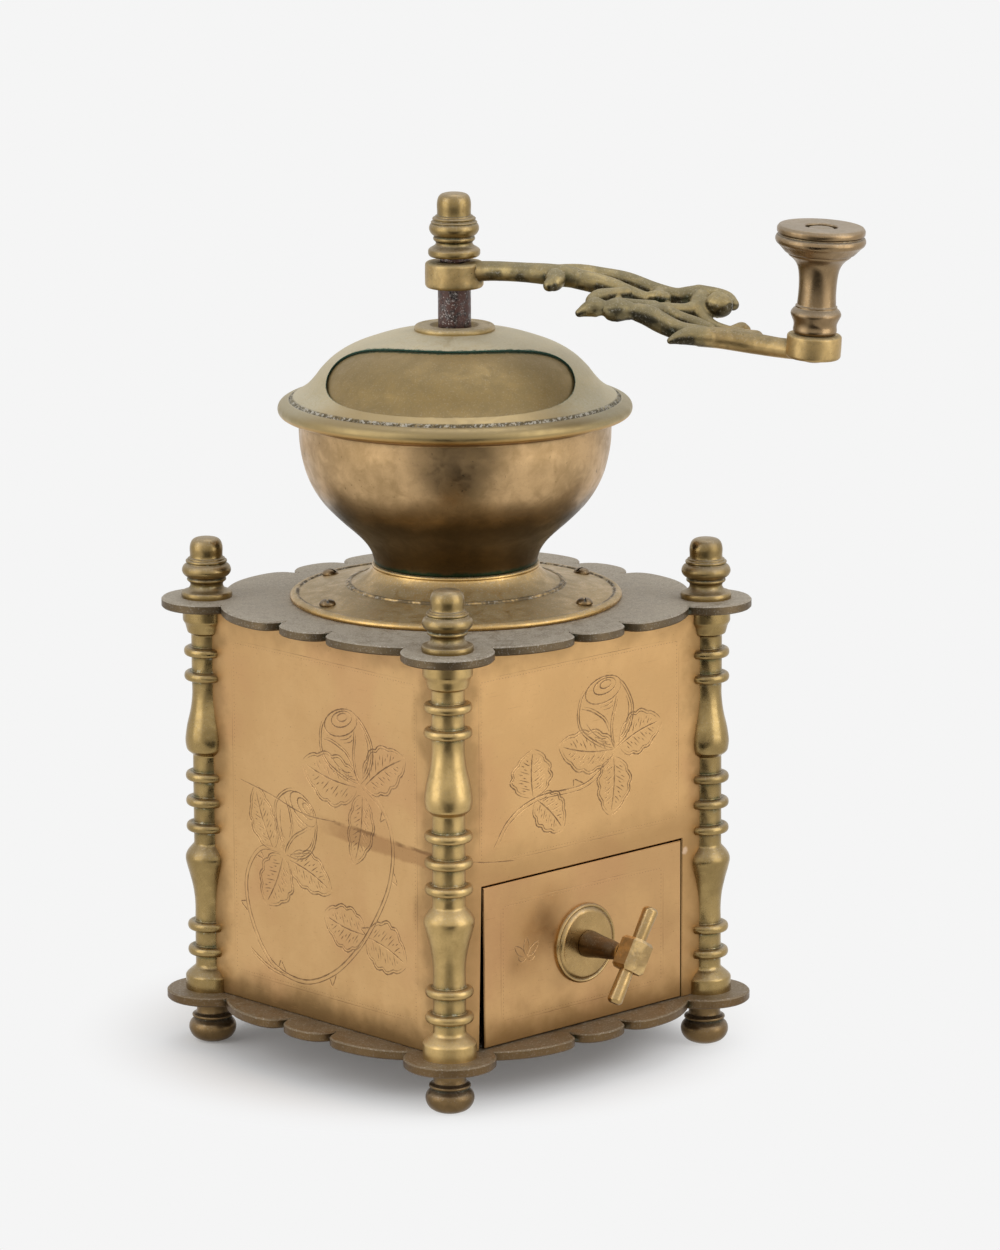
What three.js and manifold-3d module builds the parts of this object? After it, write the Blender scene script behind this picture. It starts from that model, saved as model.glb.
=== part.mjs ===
// A brass box coffee mill. Four turned columns hold two scalloped plates apart, four engraved sheets close
// the sides, a domed hopper feeds a grinding cone on the crank's shaft, and the grounds fall in a drawer.
// Millimetres, +Z up, the drawer opens towards -Y. The origin is on the crank's axis, in the flat
// underside of the bottom plate, so the feet reach below it.
import * as THREE from "three";
import { mergeVertices } from "three/addons/utils/BufferGeometryUtils.js";
import Module from "manifold-3d";

const wasm = await Module();
wasm.setup();

// Fits
const CLEARANCE = 0.3; // between pieces that are slipped or screwed together
const DRAWER_PLAY = 0.6; // each side of the drawer's tray
const BURR_GAP = 0.9; // between the cone and the grinding ring where they are closest
const OVERSHOOT = 1; // of a tool past what it cuts, and of a piece into the one that it is joined to
const WELD = 1e-4; // points closer than this are one

// Box
const COLUMN_SPACING = 112; // between the column axes, both ways
const PLATE = 3; // thickness of the two scalloped plates
const WALL_HEIGHT = 125.5; // columns and side sheets
const SHEET = 1; // side sheets
const SHEET_OUTSET = 2.1; // outer face of a side sheet, outboard of the column axes
const ROD_RADIUS = 1.6; // tie rods in the columns
const ROD_ENGAGEMENT = 9; // of a tie rod in a foot or a finial
const FOOT_HEIGHT = 14.5;
const SCRIBE_WIDTH = 0.5; // setting-out square scribed in the bottom plate's underside
const SCRIBE_DEPTH = 0.3;

// Scalloped edge of the plates, from the column axes outwards and along each side from its middle
const LOBE_CUT = 13.3; // from a column axis back along the side to the corner lobe's end
const LOBE_NOTCH = 5.7; // how far outboard the corner lobe ends
const SCALLOP_OUT = 13.7;
const SCALLOP_PEAK = 20;
const SCALLOP_ROUND = 13.5;
const SCALLOP_END = 12;
const SCALLOP_END_OUT = 9.5;
const MIDDLE_NOTCH = 10.6;
const MIDDLE_NOTCH_OUT = 6.6;
const MIDDLE_OUT = 14.3;
const MIDDLE_ROUND = 9.6;
const SCALLOP_RISE = 33; // where the long rise of a side scallop bends

// Columns
const SHAFT_R = 5.15; // plain stretches
const RING_R = 7.65;
const RING_THICK = 3;
const COLUMN_BASE_R = 8.4;
const COLUMN_BASE_H = 5;
const COLUMN_COLLAR_R = 7.75;
const COLUMN_COLLAR_H = 5.3;
const COLUMN_CONE_H = 3;
const LOW_RINGS = [12.8, 21]; // up from the column's foot
const MIDDLE_RINGS = [53.6, 62];
const TOP_MIDDLE_RING = 55.2; // down from the column's head
const HIGH_RINGS = [22.5, 14.5];
const LOW_BALUSTER = [[5, 27.5], [5.4, 32], [6.3, 36.5], [7.6, 41], [7.95, 44.1], [5.15, 48.3]]; // up
const HIGH_BALUSTER = [[5.1, 48], [7, 45.6], [7.5, 43.4], [6.9, 38.6], [5.7, 34.1], [5, 28.6]]; // down

// Turned feet and finials: radius, height
const FOOT_PROFILE = [[3.6, 0], [6.5, 1.7], [7.6, 4.9], [6.9, 7], [5.6, 7.5], [6.5, 8], [6.5, 8.7], [5, 9.3]];
const FINIAL_PROFILE = [
  [8, 0], [8, 1.9], [5.6, 2.6], [5.1, 3.6], [6.3, 5.6], [5.9, 6.4], [7.8, 8.4],
  [7.5, 9.8], [6.4, 10.8], [6.5, 12], [5.2, 12.7], [5.2, 16.3], [3.6, 18.9],
];
const FINIAL_HEIGHT = 19.3;

// Hopper foot on the top plate: radius, height over the plate
const HOPPER_FOOT_EDGE = [[52, 0], [52.6, 0.6], [52.6, 1.4], [51.8, 2.2], [50, 2.1], [35, 4.9], [33.3, 5.2]];
const HOPPER_FOOT_FLARE = [[32.6, 5.8], [30, 6.8], [27.6, 8.3], [26, 9.9]];
const HOPPER_FOOT_NECK_R = 25.2;
const HOPPER_FOOT_HEIGHT = 11.6;
const THROAT_R = 20.7; // inside the bowl's spigot
const SPIGOT_WALL = 1.5;
const SPIGOT_DEPTH = 6;
const SCREW_CIRCLE_R = 46.5;
const SCREW_COUNT = 6;
const SCREW_R = 1.5;
const SCREW_HEAD_R = 2.6;
const SCREW_HEAD_H = 1.9;
const SCREW_HEAD_EDGE = 0.8; // height of the head's upright edge
const SCREW_HEAD_TOP = [1.8, 1.6]; // radius and height where the head's dome flattens
const SCREW_SLOT = 0.8;
const SCREW_SLOT_DEPTH = 0.9;
const SCREW_SEAT = 2.4; // over the plate
const SCREW_FACING = 226.9; // degrees in plan, the direction of the first screw

// Bowl and dome: radius, height
const BOWL_HEIGHT = 48.5;
const BOWL_CURVE = [
  [25.9, 0], [26.8, 3.8], [29.6, 8], [37.1, 14.8], [42.4, 20.6], [46.6, 28.2], [49, 37.5], [49.4, 43.2],
];
const BOWL_WALL = 1.4;
const LIP_WIDTH = 2.6;
const LIP_THICK = 1.2;
const RIM_PROFILE = [[54, -1.2], [55.3, -0.4], [56, 1.2], [55.3, 2.8], [53.5, 3.8], [51.9, 3.9]];
const DOME_CURVE = [
  [51.7, 4.5], [47.4, 7.3], [44.6, 10.2], [42.1, 13.4], [38.3, 17], [33.4, 20], [27.3, 22.4], [20.6, 24.4],
  [12.7, 25.7],
];
const DOME_WALL = 1.2;
const DOME_INNER_R = 50.6; // inside the rim
const HATCH_FACING = 222.7; // degrees in plan
const HATCH_HALF_ANGLE = 72;
const HATCH_MIDDLE_R = 36.9;
const HATCH_HALF_DEPTH = 11.7;
const HATCH_END = 2 / 3; // power that squares the opening's ends
const HATCH_POINTS = 24;
const SHUTTER_GAP = 0.4;
const SHUTTER_WALL = 0.8;
const SHUTTER_HALF_ANGLE = 78;
const SHUTTER_EDGE_R = 49.9;
const SHUTTER_HUB_R = 15;
const COLLAR_R = 12.7;
const COLLAR_THICK = 1.7;
const COLLAR_SPIGOT_R = 8.2;
const COLLAR_SPIGOT_DEPTH = 5.5;
const COLLAR_MOUTH_R = 6.3;
const COLLAR_BEVEL = 0.5;
const COLLAR_LEAD = 1; // depth of the cone that leads the shaft into the collar
const RETAINER_R = 11.5;
const RETAINER_THICK = 1.4;

// Crank
const CRANK_SHAFT_R = 5.2;
const CRANK_STANDOFF = 11.9; // from the collar's top to the crank's boss
const CRANK_BOSS_R = 9.2;
const CRANK_BOSS_H = 8.1;
const TANG = 7.4; // side of the square that drives the crank
const THREAD_R = 3.2; // end of the shaft, in the finial nut
const THREAD_LENGTH = 12;
const WASHER_R = 4.6;
const WASHER_THICK = 1.7;
const CRANK_NUT_PROFILE = [
  [7.6, 0], [8.2, 0.6], [8.2, 2.2], [5.8, 4.3], [6.6, 5.7], [6.3, 6.5], [7.9, 8.6],
  [7.7, 10], [6.6, 10.7], [6.4, 12.4], [5.35, 12.9], [5.3, 17.6], [3.9, 19.7],
];
const CRANK_NUT_HEIGHT = 20.2;
const CRANK_ANGLE = -68.05; // degrees in plan, the arm's direction as photographed
const CRANK_LENGTH = 121.5;
const CRANK_DROP = 14.6; // from the middle of the shaft's boss to the middle of the knob's
const KNOB_BOSS_R = 8.4;
const KNOB_BOSS_H = 7.4;
const KNOB_LEAN = 3.5; // degrees outwards
const BOSS_BEVEL = 0.8; // of both bosses
const ARM_FLAT = 0.98; // an arm stem's height over its width
const STEM_CAP = 0.6; // of a stem's radius, by which its round end reaches out and narrows
// Scrolls of the arm: along the arm, to the side that faces the drawer's left, over the boss's foot, radius
const ARM_SCROLLS = {
  shaftStem: [[5, 0, 5.2, 3.2], [13.8, 0, 5.9, 3], [24, 0, 6.1, 3], [33, -1, 5.8, 3.3], [40, -3, 5, 3.2]],
  nearBud: [[35.5, 2.5, 6.3, 2.2], [37, 5, 5.6, 3], [37.3, 7.5, 4.7, 2.7], [36.7, 9.2, 4.1, 1.8]],
  nearBranch: [
    [38, -3.5, 5, 3.1], [44, -4.2, 3.9, 3.1], [50.4, -6, 2.3, 3], [57, -6.6, 0.3, 2.6], [62.6, -8, -1.5, 2.3],
    [66.3, -9, -2.1, 2.1],
  ],
  nearBranchBud: [[63.4, -8, -0.6, 1.9], [65.8, -8, -0.2, 2.1], [68.1, -8.5, -0.5, 1.9]],
  farBranch: [
    [31, -2, 5.9, 2.6], [37, -12, 5, 2.7], [43.1, -17.5, 3.5, 2.7], [50.5, -20, 2.1, 2.7],
    [59, -21, -0.5, 2.6], [66, -21.5, -2, 2.6], [69.7, -23, -1.6, 2.6], [72.7, -25, -1.3, 2.8],
  ],
  farNeck: [[61.5, -19, -1.3, 2.2], [65.4, -11, -1.2, 2]],
  farLeaf: [[72.7, -25, -1.3, 2.8], [77.8, -27.5, -2.3, 2.7], [81.1, -27.5, -3.1, 2.5], [84.2, -25, -4, 1.8]],
  bigBud: [[79.3, -19, -3.8, 2.9], [81.8, -18, -3.2, 4.1], [83.1, -17.5, -3.2, 3.8]],
  knobStem: [
    [116, 0, -12, 3.1], [109.9, 0, -11.9, 3], [99.8, 0, -11, 3.2], [92, 3, -9.7, 3.2], [86, 6, -9.2, 3],
  ],
  leafTip: [[89, 5, -9.3, 3], [84.2, 8.4, -8.7, 2.8], [81.1, 11, -9.1, 2], [79.1, 12.8, -9.8, 1]],
  innerBranch: [
    [101.4, -2, -9.7, 2.2], [94.7, -6, -9.9, 1.9], [88.5, -9, -9.7, 1.9], [82.9, -11.5, -8.9, 2],
    [79.1, -14, -7.1, 2.2], [75.6, -18, -4.2, 2.9], [74.4, -22, -2.2, 2.7],
  ],
  sideBud: [[91.5, -9, -9, 1.6], [93.3, -10, -8.7, 2], [94.3, -10.5, -9.1, 1.6]],
  returnBranch: [
    [89, 3, -9.5, 2.6], [84.4, 4, -8.8, 2.8], [79.7, 5, -8.2, 2.9], [76.3, 6.2, -6.9, 3], [73, 7, -5.3, 3.2],
    [69.9, 8, -3.5, 3.2], [66.8, 9.2, -2.4, 2.8],
  ],
  roundBud: [[64.1, 10.6, -1.8, 2.8], [61.2, 12, -1.5, 3.7], [59.9, 12.4, -1.6, 3.5]],
  pointedBud: [[57.1, 13, -1, 2.1], [54.5, 14.2, -0.8, 3], [52, 15.2, -1.6, 2.2], [50.2, 16.6, -2.5, 1.2]],
  backLeaf: [
    [56.8, -4, 0.9, 2], [55.2, 0.5, 1.2, 2], [54.2, 4, 1.4, 2.1], [53, 8, 1.4, 2.3], [52, 10.5, 0.4, 2.1],
    [53.4, 12.5, -0.5, 1.9],
  ],
  nearWeb: [[56, 2, -1.5, 2], [62, 3, -1.9, 2.4], [68, 0, -2.4, 2.4]],
  lowWeb: [[72.3, -2, -4.2, 2.2], [76, -4, -6.1, 2.2], [80.1, -5, -7.4, 2.2], [85, -4, -8.7, 2]],
  farWeb: [
    [75.6, -17, -4.3, 2.6], [73.7, -13, -4.9, 2.4], [71.8, -8, -4.3, 2.4], [69.7, -3, -3.3, 2.3],
    [69, 4, -2.9, 2.2],
  ],
};
const KNOB_HEIGHT = 33.3;
const KNOB_PROFILE = [
  [5.9, 0], [6.8, 2.6], [7.9, 5.6], [6, 8.4], [5.75, 13], [6.2, 20], [7.5, 22.4],
  [10, 24.4], [13, 28.2], [13.6, 30], [13.2, 31.3],
];
const KNOB_TOP_R = 13.3;
const KNOB_EDGE = 1; // height of the top's bevelled edge
const KNOB_BEVEL = 0.6;
const KNOB_RECESS_R = 5;
const KNOB_RECESS = 1.7;
const KNOB_PIN_R = 2.6;
const RIVET_R = 4.2;
const RIVET_TOP_R = 3.4;
const RIVET_THICK = 1.1;

// Grinder under the top plate
const HOUSING_FLANGE = 4;
const HOUSING_R = 31;
const HOUSING_HEIGHT = 32.5;
const HOUSING_BORE_TOP = 21;
const FLANGE_MARGIN = 2; // of the flange past the screws' heads
const CONE_BASE_R = 22.4;
const CONE_TOP_R = 9.5;
const CONE_PLAY = 1.2; // over the cone, for setting the grind
const CONE_SKIRT = 2.9; // height of the cone's steep foot
const CONE_SHOULDER = 8.8; // height where the cone's teeth are deepest
const CONE_TEETH = 14;
const CONE_TOOTH = 1.4;
const CONE_TWIST = 0.6; // radians over its height
const CONE_LIFT = 1; // over the grinding ring's lower edge
const RING_TEETH = 16;
const RING_TOOTH = 0.8;
const GUIDE_RING_R = 25.7;
const GUIDE_THICK = 4;
const GUIDE_ARM = 5;
const GUIDE_ARMS = 3;
const GUIDE_BOSS_R = 9;
const GUIDE_BOSS_H = 9;
const HUB_R = 9; // under the cone
const HUB_H = 7;
const BURR_PIN_R = 1.5;
const PIVOT_R = 4; // lower end of the shaft
const PIVOT_LENGTH = 5.5;
const BRIDGE_WIDTH = 14;
const BRIDGE_BAR = 6;
const BRIDGE_DROP = 16; // from the grinding ring to the bar's underside
const BRIDGE_LEG = 6;
const BRIDGE_BOSS_R = 8;
const BRIDGE_BOSS_DROP = 4; // boss under the bar
const BRIDGE_BOSS_RISE = 2; // boss over the bar
const BRIDGE_SCREW_GRIP = 9; // in the grinding ring
const BALL_R = 2.5;
const BALL_REST = 1.5; // the ball's lower side over the bar's underside
const ADJUSTER_R = 4;
const ADJUSTER_LENGTH = 19;
const ADJUSTER_HEAD_R = 9;
const ADJUSTER_HEAD_H = 7;
const ADJUSTER_KNURLS = 16;
const ADJUSTER_KNURL = 1; // depth of a knurl
const HEXAGON = 6;
const LOCK_NUT_R = 7.2;
const LOCK_NUT_H = 5.2;

// Drawer
const DRAWER_WIDTH = 86;
const DRAWER_HEIGHT = 51.4;
const DRAWER_SIDE_GAP = 1.4;
const DRAWER_TOP_GAP = 0.9;
const DRAWER_FACE = 1.2;
const TRAY_WIDTH = 80;
const TRAY_HEIGHT = 45;
const TRAY_DEPTH = 107;
const TRAY_WALL = 1.2;
const ROSETTE_R = 12.7;
const ROSETTE_THICK = 1.8;
const ROSETTE_BEVEL = 0.8;
const ROSETTE_RISE = 26; // centre of the pull over the drawer's lower edge
const PULL_ROOT = [[4.35, 0], [3.75, 3]]; // radius, distance out of the rosette
const PULL_NECK = [[2.9, -3], [2.5, -1], [3.5, 1], [0, 1]]; // radius, distance past the hub's near side
const PULL_REACH = 21.6; // from the drawer's face to the cross bar's axis
const PULL_THREAD_R = 1.8;
const PULL_THREAD_END = 1; // past its nut
const HUB_SIDE = 9.4;
const HUB_LENGTH = 10.4;
const HUB_CHAMFER = 2.2;
const HUB_BEVEL = 1; // of its two ends
const BAR_R = 2.35;
const BAR_LENGTH = 32.2;
const BAR_BEVEL = 0.6;
const BAR_TILT = 31; // degrees from upright, its head towards +X
const PULL_NUT_R = 4.2;
const PULL_NUT_H = 3;
const GUIDE_STRIP = 1.2;
const GUIDE_STRIP_HEIGHT = 12;
const GUIDE_FOOT = 4;
const GUIDE_SETBACK = 2; // of the strips' ends from the tray's
const STOP_HEIGHT = 9;
const STOP_FOOT = 3.6;

// Facets of round pieces
const BIG_ROUND = 32;
const ROUND = 18;
const SMALL_ROUND = 10;
const CORNER_ROUND = 8; // columns, feet and finials
const SCREW_ROUND = 8;
const PLATE_CURVE = 3; // steps in each curve of a plate's edge
const STEM_STEPS = 1; // rings between two points of an arm's stem
const STEM_SIDES = 7;

// Levels and places that follow from the sizes
const half = COLUMN_SPACING / 2;
const wallTop = PLATE + WALL_HEIGHT;
const deck = wallTop + PLATE;
const sheetPlane = half + SHEET_OUTSET;
const rodBore = ROD_RADIUS + CLEARANCE;
const screwBore = SCREW_R + CLEARANCE;
const footBoreR = THROAT_R + SPIGOT_WALL + CLEARANCE;
const neck = deck + HOPPER_FOOT_HEIGHT;
const domeSeat = neck + BOWL_HEIGHT;
const domeTop = domeSeat + DOME_CURVE.at(-1)[1];
const crankSeat = domeTop + COLLAR_THICK + CRANK_STANDOFF;
const crankTop = crankSeat + CRANK_BOSS_H;
const nutSeat = crankTop + WASHER_THICK;
const shaftBore = CRANK_SHAFT_R + CLEARANCE;
const ringBottom = wallTop - HOUSING_HEIGHT;
const guideFloor = wallTop - GUIDE_THICK - CLEARANCE;
const guideBossBottom = guideFloor + GUIDE_THICK - GUIDE_BOSS_H;
const coneBottom = ringBottom + CONE_LIFT;
const coneTop = guideBossBottom - CONE_PLAY;
const hubBottom = coneBottom - HUB_H;
const bridgeBottom = ringBottom - BRIDGE_DROP;
const bridgeScrewR = HOUSING_R - BRIDGE_LEG / 2 - CLEARANCE;
const ballBottom = bridgeBottom + BALL_REST;
const shaftBottom = ballBottom + 2 * BALL_R;
const drawerFloor = PLATE + CLEARANCE;
const pullHeight = drawerFloor + ROSETTE_RISE;
const faceBack = sheetPlane - DRAWER_FACE;
const radians = Math.PI / 180;

// A closed geometry as a solid that can be cut and joined.
function solid(geometry) {
  const bare = new THREE.BufferGeometry();
  const flat = geometry.index ? geometry.toNonIndexed() : geometry;
  bare.setAttribute("position", flat.getAttribute("position"));
  const merged = mergeVertices(bare, WELD);
  const triVerts = new Uint32Array(merged.index.array);
  const vertProperties = merged.attributes.position.array;
  return new wasm.Manifold(new wasm.Mesh({ numProp: 3, vertProperties, triVerts }));
}

// A solid back as a geometry.
function shapeOf(body) {
  const mesh = body.getMesh();
  const geometry = new THREE.BufferGeometry();
  geometry.setAttribute("position", new THREE.BufferAttribute(new Float32Array(mesh.vertProperties), 3));
  geometry.setIndex(new THREE.BufferAttribute(new Uint32Array(mesh.triVerts), 1));
  return geometry.toNonIndexed();
}

function join(first, ...others) {
  return others.reduce((sum, other) => sum.add(solid(other)), solid(first));
}

function cut(body, ...tools) {
  return tools.reduce((rest, tool) => rest.subtract(solid(tool)), body);
}

// A turned piece about +Z from an outline of [radius, height] points, drawn from its foot up its outside.
function turned(outline, sides) {
  const points = outline.map(([r, z]) => new THREE.Vector2(r, z));
  return new THREE.LatheGeometry(points, sides).rotateX(Math.PI / 2);
}

function cylinder(radius, from, to, sides) {
  return turned([[0, from], [radius, from], [radius, to], [0, to]], sides);
}

function tube(inner, outer, from, to, sides) {
  return turned([[inner, from], [outer, from], [outer, to], [inner, to], [inner, from]], sides);
}

function raise(outline, height) {
  return outline.map(([r, z]) => [r, z + height]);
}

// The outline moved inwards, square to itself, by a wall's thickness.
function inset(outline, wall) {
  return outline.map(([r, z], i) => {
    const [r0, z0] = outline[Math.max(i - 1, 0)];
    const [r1, z1] = outline[Math.min(i + 1, outline.length - 1)];
    const length = Math.hypot(r1 - r0, z1 - z0);
    return [r - (wall * (z1 - z0)) / length, z + (wall * (r1 - r0)) / length];
  });
}

// A box between two corners.
function block(x0, x1, y0, y1, z0, z1) {
  const box = new THREE.BoxGeometry(x1 - x0, y1 - y0, z1 - z0);
  return box.translate((x0 + x1) / 2, (y0 + y1) / 2, (z0 + z1) / 2);
}

// The same geometry at evenly spaced angles about +Z.
function around(make, count, start = 0) {
  const turns = Array.from({ length: count }, (_, k) => start + (k * 2 * Math.PI) / count);
  return turns.map((angle) => make().rotateZ(angle));
}

// Two copies of a geometry, as far to the left as to the right.
function bothSides(geometry, x) {
  return [-x, x].map((place) => geometry.clone().translate(place, 0, 0));
}

// One side of a plate's scalloped edge, facing -Y and then turned by quarters.
function edgeOfPlate(shape, quarter) {
  const at = (along, out) => new THREE.Vector2(along, -out - half).rotateAround(new THREE.Vector2(), quarter);
  const bend = (along, out, toAlong, toOut) => {
    const via = at(along, out);
    const to = at(toAlong, toOut);
    shape.quadraticCurveTo(via.x, via.y, to.x, to.y);
  };
  const line = (along, out) => {
    const to = at(along, out);
    shape.lineTo(to.x, to.y);
  };
  const lobeEnd = half - LOBE_CUT;
  if (quarter === 0) shape.moveTo(at(-lobeEnd, LOBE_NOTCH).x, at(-lobeEnd, LOBE_NOTCH).y);
  bend(-SCALLOP_RISE, SCALLOP_OUT, -SCALLOP_PEAK, SCALLOP_OUT);
  bend(-SCALLOP_ROUND, SCALLOP_OUT, -SCALLOP_END, SCALLOP_END_OUT);
  line(-MIDDLE_NOTCH, MIDDLE_NOTCH_OUT);
  bend(-MIDDLE_ROUND, MIDDLE_OUT, 0, MIDDLE_OUT);
  bend(MIDDLE_ROUND, MIDDLE_OUT, MIDDLE_NOTCH, MIDDLE_NOTCH_OUT);
  line(SCALLOP_END, SCALLOP_END_OUT);
  bend(SCALLOP_ROUND, SCALLOP_OUT, SCALLOP_PEAK, SCALLOP_OUT);
  bend(SCALLOP_RISE, SCALLOP_OUT, lobeEnd, LOBE_NOTCH);
  const corner = at(half, 0);
  const reach = Math.atan2(LOBE_CUT, LOBE_NOTCH);
  const radius = Math.hypot(LOBE_CUT, LOBE_NOTCH);
  const outwards = quarter - Math.PI / 4;
  const spread = Math.PI / 4 + reach;
  shape.absarc(corner.x, corner.y, radius, outwards - spread, outwards + spread, false);
}

function plate(bottom, holes) {
  const shape = new THREE.Shape();
  [0, 1, 2, 3].forEach((k) => edgeOfPlate(shape, (k * Math.PI) / 2));
  const slab = new THREE.ExtrudeGeometry(shape, {
    depth: PLATE,
    bevelEnabled: false,
    curveSegments: PLATE_CURVE,
  }).translate(0, 0, bottom);
  return shapeOf(cut(solid(slab), ...holes));
}

// The square line scribed between the feet, from which the corners were set out.
function scribedSquare() {
  const side = half - COLUMN_BASE_R;
  const corners = (reach) => [[-reach, -reach], [reach, -reach], [reach, reach], [-reach, reach]];
  const points = (reach) => corners(reach).map(([x, y]) => new THREE.Vector2(x, y));
  const line = new THREE.Shape(points(side));
  line.holes.push(new THREE.Path(points(side - SCRIBE_WIDTH)));
  const depth = OVERSHOOT + SCRIBE_DEPTH;
  return new THREE.ExtrudeGeometry(line, { depth, bevelEnabled: false }).translate(0, 0, -OVERSHOOT);
}

function rodHoles(bottom) {
  const top = bottom + PLATE + OVERSHOOT;
  const hole = () => cylinder(rodBore, bottom - OVERSHOOT, top, SMALL_ROUND).translate(half, half, 0);
  return around(hole, 4);
}

function screwHoles(bottom, top) {
  const hole = () => cylinder(screwBore, bottom, top, SCREW_ROUND).translate(SCREW_CIRCLE_R, 0, 0);
  return around(hole, SCREW_COUNT, SCREW_FACING * radians);
}

// A thin ring turned on a column: the points of its outline, going up.
function ringOutline(height) {
  return [[SHAFT_R, height - RING_THICK / 2], [RING_R, height], [SHAFT_R, height + RING_THICK / 2]];
}

function columnOutline() {
  const down = ([r, z]) => [r, WALL_HEIGHT - z];
  const fromHead = (z) => WALL_HEIGHT - z;
  return [
    [COLUMN_BASE_R, 0],
    [COLUMN_BASE_R, COLUMN_BASE_H],
    [SHAFT_R, COLUMN_BASE_H + COLUMN_CONE_H],
    ...LOW_RINGS.flatMap(ringOutline),
    ...LOW_BALUSTER,
    ...MIDDLE_RINGS.flatMap(ringOutline),
    ...ringOutline(fromHead(TOP_MIDDLE_RING)),
    ...HIGH_BALUSTER.map(down),
    ...HIGH_RINGS.map(fromHead).flatMap(ringOutline),
    [SHAFT_R, fromHead(COLUMN_COLLAR_H + COLUMN_CONE_H)],
    [COLUMN_COLLAR_R, fromHead(COLUMN_COLLAR_H)],
    [COLUMN_COLLAR_R, WALL_HEIGHT],
  ];
}

// A column at the corner where x and y are positive, bored for its rod and grooved for two side sheets.
function column() {
  const outline = [[rodBore, 0], ...columnOutline(), [rodBore, WALL_HEIGHT], [rodBore, 0]];
  const grooveFloor = -rodBore;
  const outer = SHEET_OUTSET + CLEARANCE;
  const inner = SHEET_OUTSET - SHEET - CLEARANCE;
  const reach = -2 * COLUMN_BASE_R;
  const grooveX = block(reach, grooveFloor, inner, outer, -OVERSHOOT, WALL_HEIGHT + OVERSHOOT);
  const grooveY = block(inner, outer, reach, grooveFloor, -OVERSHOOT, WALL_HEIGHT + OVERSHOOT);
  const body = cut(solid(turned(outline, CORNER_ROUND)), grooveX, grooveY);
  return shapeOf(body).translate(half, half, PLATE);
}

function foot() {
  const outline = [
    [0, 0], ...FOOT_PROFILE, [FOOT_PROFILE.at(-1)[0], FOOT_HEIGHT], [rodBore, FOOT_HEIGHT],
    [rodBore, FOOT_HEIGHT - ROD_ENGAGEMENT], [0, FOOT_HEIGHT - ROD_ENGAGEMENT],
  ];
  return turned(outline, CORNER_ROUND).translate(half, half, -FOOT_HEIGHT);
}

function finial() {
  const outline = [
    [rodBore, 0], ...FINIAL_PROFILE, [0, FINIAL_HEIGHT], [0, ROD_ENGAGEMENT], [rodBore, ROD_ENGAGEMENT],
    [rodBore, 0],
  ];
  return turned(outline, CORNER_ROUND).translate(half, half, deck);
}

function tieRod() {
  const low = CLEARANCE - ROD_ENGAGEMENT;
  const high = deck + ROD_ENGAGEMENT - CLEARANCE;
  return cylinder(ROD_RADIUS, low, high, SCREW_ROUND).translate(half, half, 0);
}

// A side sheet facing -Y, with its edges in the columns' grooves.
function sheet(withDrawer) {
  const edge = half - rodBore - CLEARANCE;
  const slab = block(-edge, edge, -sheetPlane, SHEET - sheetPlane, PLATE, wallTop);
  if (!withDrawer) return slab;
  const side = DRAWER_WIDTH / 2 + DRAWER_SIDE_GAP;
  const top = drawerFloor + DRAWER_HEIGHT + DRAWER_TOP_GAP;
  const behind = SHEET - sheetPlane + OVERSHOOT;
  const mouth = block(-side, side, -sheetPlane - OVERSHOOT, behind, PLATE - OVERSHOOT, top);
  return shapeOf(cut(solid(slab), mouth));
}

function hopperFoot() {
  const outline = raise(
    [
      [footBoreR, 0], ...HOPPER_FOOT_EDGE, ...HOPPER_FOOT_FLARE, [HOPPER_FOOT_NECK_R, HOPPER_FOOT_HEIGHT],
      [footBoreR, HOPPER_FOOT_HEIGHT], [footBoreR, 0],
    ],
    deck,
  );
  const seat = () =>
    cylinder(SCREW_HEAD_R + CLEARANCE, deck + SCREW_SEAT, neck, SMALL_ROUND).translate(SCREW_CIRCLE_R, 0, 0);
  const seats = around(seat, SCREW_COUNT, SCREW_FACING * radians);
  const holes = screwHoles(deck - OVERSHOOT, neck);
  return shapeOf(cut(solid(turned(outline, BIG_ROUND)), ...seats, ...holes));
}

// A round-head slotted screw with its head's underside at z = 0.
function roundScrew(grip) {
  const outline = [
    [0, -grip], [SCREW_R, -grip], [SCREW_R, 0], [SCREW_HEAD_R, 0], [SCREW_HEAD_R, SCREW_HEAD_EDGE],
    SCREW_HEAD_TOP, [0, SCREW_HEAD_H],
  ];
  const side = SCREW_SLOT / 2;
  const slotFloor = SCREW_HEAD_H - SCREW_SLOT_DEPTH;
  const slot = block(-SCREW_HEAD_R, SCREW_HEAD_R, -side, side, slotFloor, SCREW_HEAD_H + OVERSHOOT);
  return shapeOf(cut(solid(turned(outline, SCREW_ROUND)), slot));
}

function bowl() {
  const spigotR = THROAT_R + SPIGOT_WALL;
  const lipR = BOWL_CURVE.at(-1)[0] + LIP_WIDTH;
  const inside = inset(BOWL_CURVE, BOWL_WALL);
  const outline = [
    [THROAT_R, -SPIGOT_DEPTH], [spigotR, -SPIGOT_DEPTH], [spigotR, 0], ...BOWL_CURVE,
    [BOWL_CURVE.at(-1)[0], BOWL_HEIGHT - LIP_THICK], [lipR, BOWL_HEIGHT - LIP_THICK], [lipR, BOWL_HEIGHT],
    [inside.at(-1)[0], BOWL_HEIGHT], ...inside.slice(1).reverse(),
    [BOWL_CURVE[0][0] - BOWL_WALL, BOWL_WALL], [THROAT_R, BOWL_WALL], [THROAT_R, -SPIGOT_DEPTH],
  ];
  return turned(raise(outline, neck), BIG_ROUND);
}

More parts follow.
